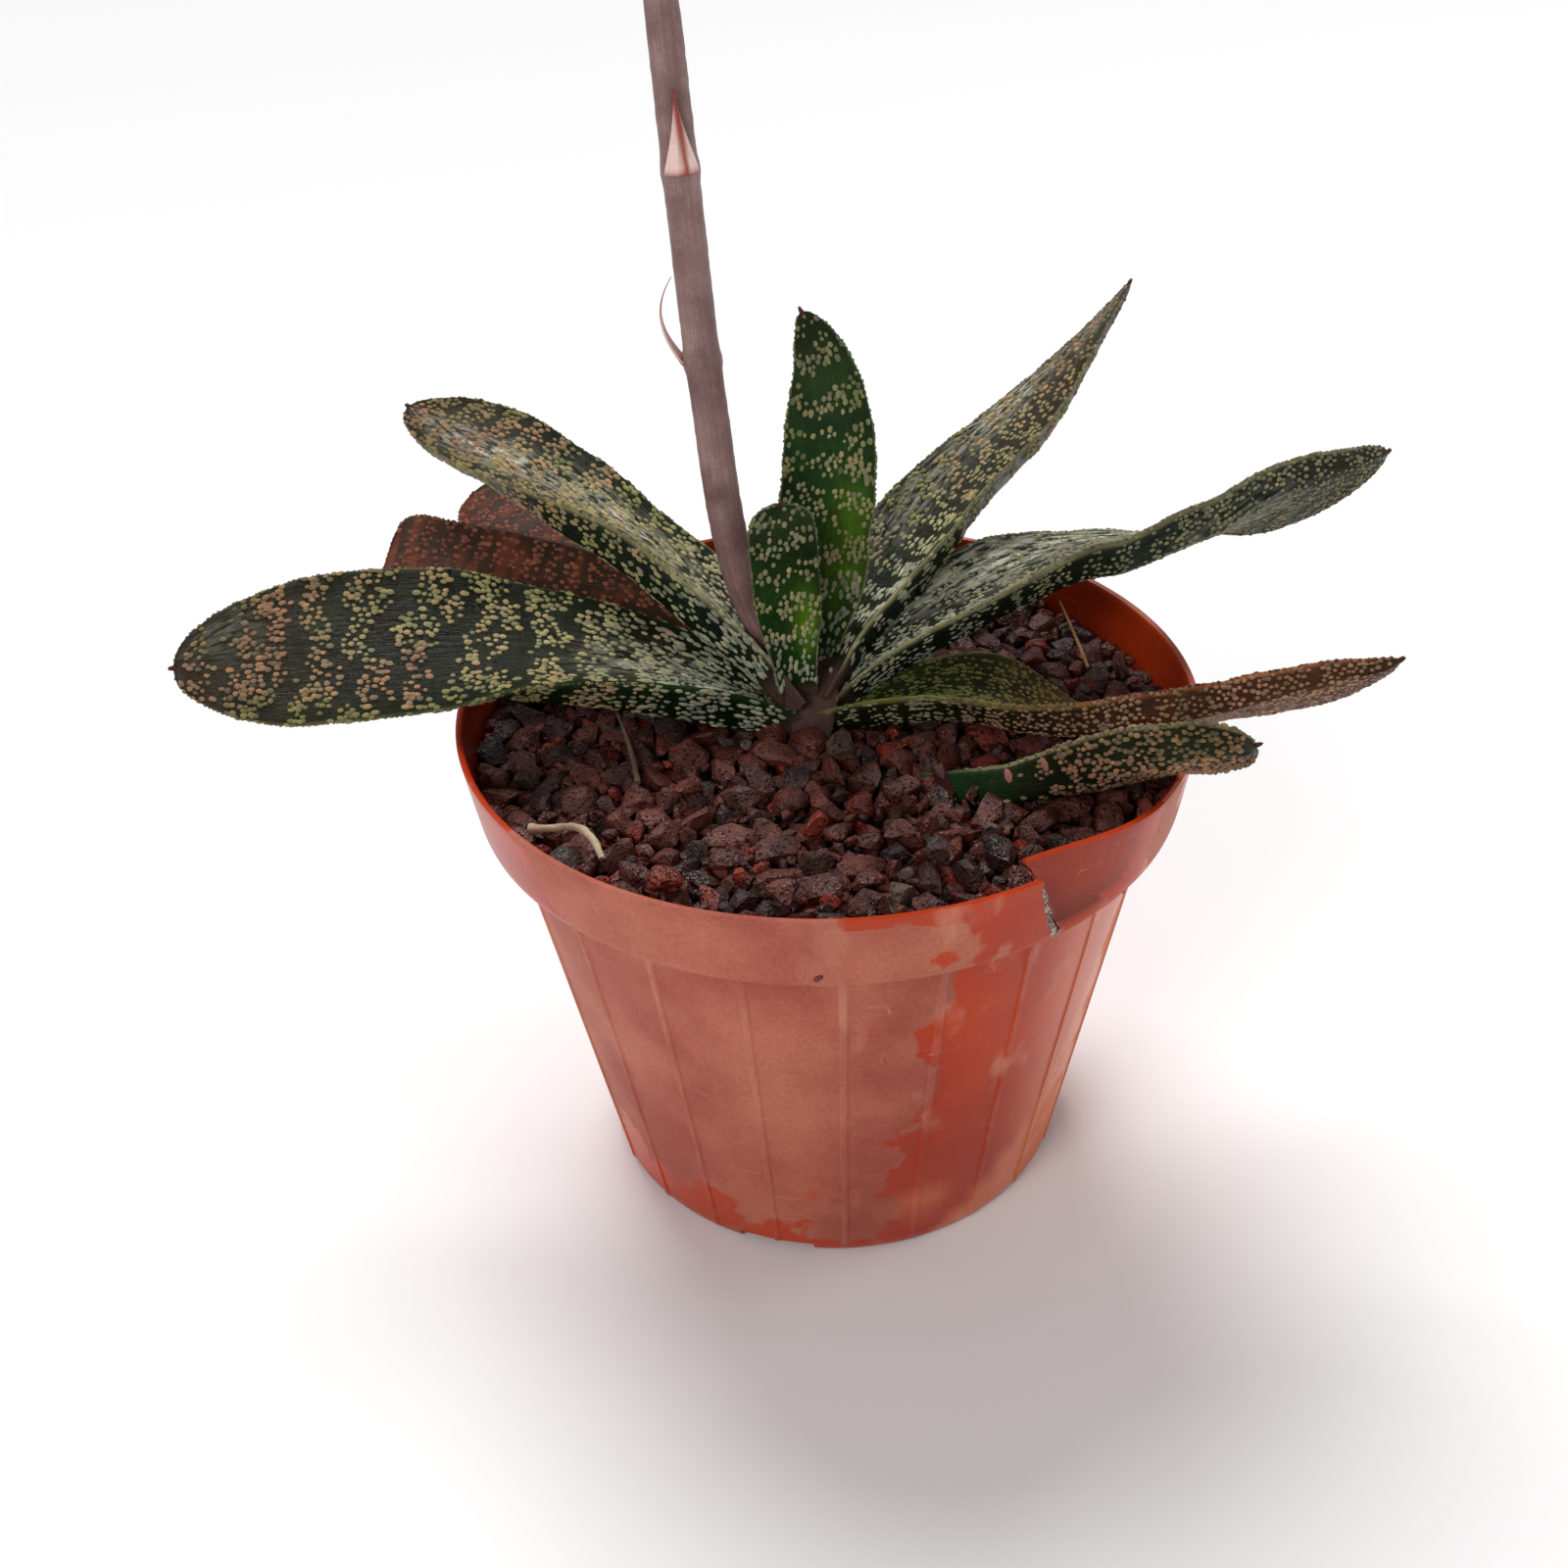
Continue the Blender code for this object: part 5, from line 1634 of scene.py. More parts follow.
    def _margin_teeth(self, ring: np.ndarray, shares: np.ndarray, result: dict[str, list],
                      rng: np.random.Generator) -> None:
        """Add small pale teeth along both margins and the point at the tip.

        Args:
            ring: The leaf's rings of points.
            shares: The sections' shares of the length.
            result: The warts' lists, added to.
            rng: The source of chance.
        """
        warts = self.shape.warts
        for column, way in ((0, -1), (self.columns - 1, 1)):
            line = ring[:, column]
            steps = np.concatenate([[0.0], np.cumsum(np.linalg.norm(np.diff(line, axis=0), axis=1))])
            at = 2.0
            while at < steps[-1] - 0.6:
                i = int(np.searchsorted(steps, at)) - 1
                t = (at - steps[i]) / (steps[i + 1] - steps[i])
                at += rng.uniform(0.75, 1.5)
                if shares[i] < 0.24:
                    continue
                place = line[i] * (1 - t) + line[i + 1] * t
                flow = (line[i + 1] - line[i]) / np.linalg.norm(line[i + 1] - line[i])
                outward = line[i] - ring[i, column - way]
                outward -= flow * (outward @ flow)
                outward /= np.linalg.norm(outward) + 1e-9
                size = rng.uniform(0.14, 0.34)
                result["place"].append(place - outward * 0.05)
                result["frame"].append([np.cross(flow, outward), flow, outward])
                result["size"].append([size, size * rng.uniform(1.0, 1.7), size * rng.uniform(0.7, 1.2)])
                result["tint"].append(np.array(warts.rim_dot) * rng.uniform(0.3, 1.0))
        for share, across in self.shape.scars:
            i = int(np.argmin(np.abs(shares - share)))
            k = round((2.0 / math.pi * math.asin(across) + 1.0) * 0.5 * (self.columns - 1))
            k = 2 * (self.columns - 1) - k
            flow = ring[i + 1, k] - ring[i, k]
            flow /= np.linalg.norm(flow)
            normal = np.cross(ring[i, k + 1] - ring[i, k - 1], flow)
            normal /= np.linalg.norm(normal)
            result["place"].append(ring[i, k])
            result["frame"].append([np.cross(flow, normal), flow, normal])
            result["size"].append(list(warts.scar))
            result["tint"].append(np.array(warts.scar_tint))
        tip = ring[-1].mean(axis=0)
        flow = tip - ring[-4].mean(axis=0)
        flow /= np.linalg.norm(flow)
        side = np.cross(flow, [0.0, 0.0, 1.0])
        side /= np.linalg.norm(side)
        result["place"].append(tip)
        result["frame"].append([side, np.cross(flow, side), flow])
        result["size"].append([0.5, 0.5, self.shape.point])
        result["tint"].append(np.array(linear(0.42, 0.22, 0.16)))

    def build(self, warts: Sequence[tuple[np.ndarray, list[list[int]]]]) -> bpy.types.Object:
        """Model the leaf.

        Args:
            warts: Points and faces of each kind of wart.

        Returns:
            The finished leaf.
        """
        ring, shares, across = self.rings()
        body = Bench.wrapped(self.shape.node + "_look", ring * MM)
        places = Bench.points(body) / MM
        flat = ring.reshape(-1, 3)
        order = _nearest(flat, places)
        lower = np.zeros(ring.shape[:2])
        lower[:, self.columns:] = 1.0
        share_of = np.repeat(shares, ring.shape[1])[order]
        across_of = np.tile(across, len(shares))[order]
        Bench.tint(body, "skin_tint",
                   self.skin_colours(places, share_of, across_of, lower.reshape(-1)[order]))
        Bench.number(body, "wart", np.zeros(len(places)))
        Bench.number(body, "painted_sheen", self.painted_sheen_share(share_of, across_of, lower.reshape(-1)[order]))
        spots = self.wart_spots(ring, shares)
        parts = [body]
        for kind, wart in enumerate(warts):
            own = slice(kind, None, len(warts))
            dots = Bench.copies(f"dots_{kind}", wart, spots["place"][own] * MM, spots["frame"][own],
                                spots["size"][own] * MM)
            Bench.tint(dots, "skin_tint", np.repeat(spots["tint"][own], len(wart[0]), axis=0))
            Bench.number(dots, "wart", np.ones(len(dots.data.vertices)))
            Bench.number(dots, "painted_sheen", np.zeros(len(dots.data.vertices)))
            parts.append(dots)
        LOG.info("%s: %d warts and teeth", self.shape.node, len(spots["place"]))
        whole = Bench.joined(self.shape.node + "_look", parts)
        Bench.smooth(whole, 62.0)
        return whole


def _nearest(pool: np.ndarray, places: np.ndarray) -> np.ndarray:
    """Index of the pool's nearest point for each place, found by rounding and by distance.

    Args:
        pool: The points that are searched.
        places: The points that are looked up.

    Returns:
        One index per place.
    """
    table: dict[tuple[int, ...], int] = {}
    for index, point in enumerate(np.round(pool * 200.0).astype(int)):
        table.setdefault(tuple(point), index)
    found = np.empty(len(places), dtype=int)
    for n, point in enumerate(places):
        key = tuple(np.round(point * 200.0).astype(int))
        found[n] = table[key] if key in table else int(np.argmin(np.sum((pool - point) ** 2, axis=1)))
    return found


def wart_models(kinds: int = 4) -> list[tuple[np.ndarray, list[list[int]]]]:
    """Model the warts: low lumps, each a little different.

    Args:
        kinds: How many kinds.

    Returns:
        Points and faces of each kind.
    """
    models = []
    for kind in range(kinds):
        Bench.clear()
        bpy.ops.mesh.primitive_uv_sphere_add(segments=7, ring_count=4, radius=1.0)
        dome = Bench.named("wart")
        points, faces = Bench.points(dome), [list(face.vertices) for face in dome.data.polygons]
        swell = 1.0 + 0.35 * ripple(points * np.array([1.0, 1.0, 0.3]), 1.3, kind + 3.0)
        models.append((points * swell[:, None] * np.array([1.0, 1.0, 0.95]), faces))
        bpy.data.objects.remove(dome, do_unlink=True)
    return models


# ------------------------------------------------------------------------------- stalk and litter
@dataclass(frozen=True)
class Strand:
    """A round strand along a route: stalk, twig, straw or bud. Millimetres."""

    name: str
    route: Sequence[tuple[float, float, float]]
    radius: Pairs
    sides: int = 16
    sections: int = 40
    knobs: Pairs = ()
    rough: float = 0.0
    seed: float = 0.0

    def rings(self) -> np.ndarray:
        """Lay out the strand's points.

        Returns:
            Rings of points in millimetres.
        """
        route = Route(self.route)
        shares = np.linspace(0.0, 1.0, self.sections)
        place, direction = route.at(shares)
        aside = np.cross(direction, np.array([0.3, 1.0, 0.2]))
        aside /= np.linalg.norm(aside, axis=1)[:, None]
        over = np.cross(direction, aside)
        radius = eased(self.radius, shares)
        for at, extra in self.knobs:
            radius = radius + extra * np.exp(-(((shares - at) * route.length / 1.6) ** 2))
        turn = 2.0 * np.pi * np.arange(self.sides) / self.sides
        ring = place[:, None] + radius[:, None, None] * (np.cos(turn)[None, :, None] * aside[:, None]
                                                         + np.sin(turn)[None, :, None] * over[:, None])
        if self.rough:
            push = self.rough * ripple(ring.reshape(-1, 3), 0.7, self.seed).reshape(ring.shape[:2])
            out = ring - place[:, None]
            ring = ring + out / np.linalg.norm(out, axis=2)[..., None] * push[..., None]
        return ring

    def build(self) -> bpy.types.Object:
        """Model the strand with closed, softened ends.

        Returns:
            The piece.
        """
        item = Bench.wrapped(self.name, self.rings() * MM)
        Bench.smooth(item, 50.0)
        return item


@dataclass(frozen=True)
class Bract:
    """A thin pointed papery scale that grows from the stalk. Millimetres."""

    node: str
    share: float
    turn: float
    length: float
    lean: float
    half_width: float = 3.0
    thickness: float = 0.35
    curl: float = 0.0

    def build(self, stalk: Route, stalk_radius: Pairs) -> bpy.types.Object:
        """Model the scale.

        Args:
            stalk: The stalk's route.
            stalk_radius: The stalk's radius along it.

        Returns:
            The piece.
        """
        place, direction = (value[0] for value in stalk.at(np.array([self.share])))
        turn = math.radians(self.turn)
        away = np.array([math.cos(turn), math.sin(turn), 0.0])
        away -= direction * (away @ direction)
        away /= np.linalg.norm(away)
        side = np.cross(direction, away)
        base = float(eased(stalk_radius, np.array([self.share]))[0]) + 0.25
        rings = []
        for s in np.linspace(0.0, 1.0, 22):
            width = self.half_width * (0.85 * (1.0 - s) ** 1.7 + 0.15 * (1.0 - s)) + 0.1
            centre = (place + direction * self.length * s
                      + away * (self.lean * math.sin(math.pi * min(1.0, 0.75 * s)) - self.curl * s * s))
            ring = []
            for layer, ks in ((self.thickness, np.linspace(-1, 1, 9)), (0.0, np.linspace(1, -1, 9))):
                for k in ks:
                    bend = max(-1.25, min(1.25, width / base * k))
                    fold = 0.25 * (1.0 - abs(k)) * (1.0 - s)
                    reach = base + layer * (1.0 - 0.6 * s) + fold
                    ring.append(centre + away * reach * math.cos(bend) + side * reach * math.sin(bend))
            rings.append(ring)
        item = Bench.wrapped(self.node + "_look", np.array(rings) * MM)
        places = Bench.points(item) / MM
        rise = np.clip((places - place) @ direction / self.length, 0.0, 1.0)
        offset = (places - place) @ side / (self.half_width + 0.1)
        red = np.clip(smooth_step(0.30, 0.05, np.abs(offset - 0.22 * (1.0 - rise)))
                      + smooth_step(0.08, 0.0, rise) * 0.8 + smooth_step(0.8, 1.0, rise) * 0.4, 0.0, 1.0)
        colours = np.array([1.0, 1.0, 1.0]) + red[:, None] * (np.array([0.42, 0.09, 0.07]) - 1.0)
        Bench.tint(item, "skin_tint", colours)
        Bench.smooth(item, 50.0)
        return item


@dataclass
class FlowerStalk:
    """The stalk with its scales and its hanging buds. Millimetres."""

    crown: tuple[float, float, float]
    steps: Sequence[tuple[float, float, float]] = (
        (-4.5, 4.5, 6.5), (-11, 4, 22), (-17, 4.5, 64), (-19, 5, 95), (-21, 6, 130), (-23, 7, 160),
        (-26, 8, 185))
    radius: Pairs = ((0.0, 3.35), (0.5, 3.15), (0.62, 3.0), (1.0, 1.2))
    bud_count: int = 9
    bud_length: float = 9.0

    @property
    def points(self) -> list[tuple[float, float, float]]:
        """The stalk's route."""
        return [tuple(float(a + b) for a, b in zip(self.crown, step)) for step in self.steps]

    def stalk(self) -> bpy.types.Object:
        """Model the stalk, with swollen rings where its scales grow.

        Returns:
            The piece.
        """
        strand = Strand("flower_stalk_look", self.points, self.radius, sides=28, sections=150,
                        knobs=((0.545, 0.35), (0.36, 0.35)), rough=0.12, seed=4.0)
        return strand.build()

    def bracts(self) -> list[tuple[str, bpy.types.Object]]:
        """Model both scales.

        Returns:
            Node names and pieces.
        """
        route = Route(self.points)
        scales = (Bract("bract_upper", 0.545, -80.0, 14.0, 0.6, half_width=3.1),
                  Bract("bract_lower", 0.36, 178.0, 15.5, 3.6, half_width=1.9, curl=2.6))
        return [(scale.node, scale.build(route, self.radius)) for scale in scales]

    def bud(self, index: int) -> tuple[str, bpy.types.Object]:
        """Model one nodding bud with its short stem.

        Args:
            index: Which bud, from the lowest.

        Returns:
            The node's name and the piece.
        """
        share = 0.80 + 0.19 * index / (self.bud_count - 1)
        place, direction = (value[0] for value in Route(self.points).at(np.array([share])))
        turn = math.radians(137.5 * index)
        away = np.array([math.cos(turn), math.sin(turn), 0.0])
        away -= direction * (away @ direction)
        away /= np.linalg.norm(away)
        size = 1.0 - 0.5 * index / (self.bud_count - 1)
        base = float(eased(self.radius, np.array([share]))[0])
        start = place + away * base * 0.8
        route = [start, start + (away * 3.0 + direction * 1.5) * size, start + away * 6.0 * size,
                 start + (away * 8.0 + np.array([0.0, 0.0, -self.bud_length])) * size]
        radius = [(0.0, 0.75), (0.36, 0.65), (0.46, 0.9), (0.62, 2.1), (0.8, 1.7), (0.93, 1.5), (1.0, 0.25)]
        strand = Strand(f"flower_bud_{index + 1}_look", [tuple(point) for point in route],
                        [(s, r * size) for s, r in radius], sides=14, sections=34, rough=0.05, seed=index)
        item = strand.build()
        drop = np.clip((start[2] + 1.0 - Bench.points(item)[:, 2] / MM) / (self.bud_length * size), 0.0, 1.0)
        green = smooth_step(0.75, 1.0, drop) + smooth_step(0.12, 0.0, drop)
        colours = np.array([1.0, 1.0, 1.0]) + green[:, None] * (np.array([0.45, 1.0, 0.55]) - 1.0)
        Bench.tint(item, "skin_tint", np.clip(colours, 0.05, 1.2))
        return f"flower_bud_{index + 1}", item


@dataclass
class Litter:
    """Dry bits lying on the gravel. Millimetres."""

    gravel: GravelBed

    def _on_gravel(self, x: float, y: float, lift: float) -> tuple[float, float, float]:
        """A point above the gravel."""
        return (x, y, float(self.gravel.surface(math.hypot(x, y))) + lift)

    def twig(self) -> bpy.types.Object:
        """Model the pale curled twig with its thick end."""
        route = [self._on_gravel(-53.4, -33.1, 1.8), self._on_gravel(-49.9, -33.9, 2.5),
                 self._on_gravel(-44.5, -34.7, 2.8), self._on_gravel(-42.1, -37.1, 2.4),
                 self._on_gravel(-40.1, -41.5, 1.0)]
        return Strand("curled_twig_look", route, ((0.0, 0.95), (0.1, 0.62), (0.6, 0.72), (1.0, 0.6)),
                      sides=12,
                      sections=50, knobs=((0.02, 0.3),), rough=0.18, seed=2.0).build()

    def straw(self) -> bpy.types.Object:
        """Model the straw that leans on the gravel."""
        edge = self.gravel.pot.inner_radius(self.gravel.pot.height - self.gravel.drop)
        route = [self._on_gravel(0.78 * edge, 0.30 * edge, 0.4),
                 self._on_gravel(0.75 * edge, 0.40 * edge, 4.0),
                 self._on_gravel(0.71 * edge, 0.49 * edge, 8.5)]
        return Strand("straw_look", route, ((0.0, 0.4), (1.0, 0.28)), sides=9, sections=24,
                      rough=0.08).build()

    def stem(self) -> bpy.types.Object:
        """Model the dry stem."""
        route = [self._on_gravel(-35.2, -18.9, 0.6), self._on_gravel(-37.6, -8.0, 2.5),
                 self._on_gravel(-40.6, 0.0, 5.5)]
        return Strand("dry_stem_look", route, ((0.0, 0.55), (1.0, 0.35)), sides=9, sections=24, rough=0.12,
                      seed=6.0).build()

    def dead_leaf(self) -> bpy.types.Object:
        """Model the shrivelled leaf strip."""
        rings = []
        for s in np.linspace(0.0, 1.0, 26):
            x, y = 29.0 + 24.0 * s, -2.0 - 8.6 * s
            centre = np.array(self._on_gravel(x, y, 1.4 + 1.5 * math.sin(3.0 * s)))
            half, twist = 2.2 - 1.5 * s, 0.5 * math.sin(5.0 * s)
            ring = []
            for layer, ks in ((0.25, np.linspace(-1, 1, 7)), (-0.25, np.linspace(1, -1, 7))):
                for k in ks:
                    sag = 0.7 * (k * k - 0.5) + 0.25 * math.sin(9.0 * s + 3.0 * k)
                    ring.append(centre + [half * k * 0.25, half * k, sag + layer + twist * k])
            rings.append(ring)
        item = Bench.wrapped("dried_leaf_look", np.array(rings) * MM)
        Bench.smooth(item, 50.0)
        return item


# ------------------------------------------------------------------------------- studio
@dataclass(frozen=True)
class Studio:
    """Camera, floor and soft lights. Metres and radians."""

    distance: float = 0.3170
    height: float = 0.29885
    pitch: float = 0.60159
    yaw: float = -0.02745
    roll: float = 0.03641
    lens: float = 45.0
    sensor: float = 36.0
    near: float = 0.01

    def camera(self) -> None:
        """Set the camera in front of and above the pot."""
        data = bpy.data.cameras.new("camera")
        data.lens, data.sensor_width, data.clip_start = self.lens, self.sensor, self.near
        item = bpy.data.objects.new("camera", data)
        bpy.context.scene.collection.objects.link(item)
        level, dip = math.cos(self.pitch), math.sin(self.pitch)
        forward = Vector((math.sin(self.yaw) * level, math.cos(self.yaw) * level, -dip))
        right = Vector((math.cos(self.yaw), -math.sin(self.yaw), 0.0))
        down = forward.cross(right)
        right, down = (right * math.cos(self.roll) + down * math.sin(self.roll),
                       down * math.cos(self.roll) - right * math.sin(self.roll))
        turn = Matrix((right, -down, -forward)).transposed().to_4x4()
        item.matrix_world = Matrix.Translation((0.0, -self.distance, self.height)) @ turn
        bpy.context.scene.camera = item

    def lamp(self, name: str, place: Sequence[float], target: Sequence[float], size: float, power: float,
             warmth: Colour = (1.0, 1.0, 1.0)) -> None:
        """Hang one soft box.

        Args:
            name: The lamp's name.
            place: Where it hangs.
            target: Where it points.
            size: Its side.
            power: Its power in watts.
            warmth: Its colour.
        """
        data = bpy.data.lights.new(name, "AREA")
        data.shape, data.size, data.energy, data.color = "SQUARE", size, power, warmth
        item = bpy.data.objects.new(name, data)
        item.location = place
        item.rotation_euler = (Vector(target) - Vector(place)).to_track_quat("-Z", "Y").to_euler()
        bpy.context.scene.collection.objects.link(item)

    def light(self) -> None:
        """Light the set from above and behind, with soft fill all round."""
        world = bpy.data.worlds.new("soft_room")
        world.use_nodes = True
        back = world.node_tree.nodes["Background"]
        back.inputs["Color"].default_value = (1.0, 1.0, 1.0, 1.0)
        back.inputs["Strength"].default_value = 0.28
        bpy.context.scene.world = world
        bpy.context.scene.view_settings.view_transform = "Standard"
        sky = bpy.data.lights.new("sky_panel", "SUN")
        sky.energy, sky.angle = 2.7, math.radians(34.0)
        item = bpy.data.objects.new("sky_panel", sky)
        item.rotation_euler = Vector((0.25, -0.78, -1.12)).to_track_quat("-Z", "Y").to_euler()
        bpy.context.scene.collection.objects.link(item)
        self.lamp("front_box", (-0.7, -1.1, 1.0), (0.0, 0.0, 0.05), 0.6, 8.0)
        self.lamp("right_box", (1.1, 0.35, 0.45), (0.0, 0.0, 0.05), 0.5, 3.0)

    def floor(self) -> bpy.types.Object:
        """Lay the pale floor.

        Returns:
            The floor.
        """
        Bench.clear()
        bpy.ops.mesh.primitive_plane_add(size=8.0, location=(0.0, 0.0, 0.0))
        item = Bench.named("studio_floor")
        recipe = Recipe("pale_floor")
        recipe.set(Base_Color=(0.9, 0.9, 0.9), Roughness=0.95)
        item.data.materials.append(recipe.material)
        return item


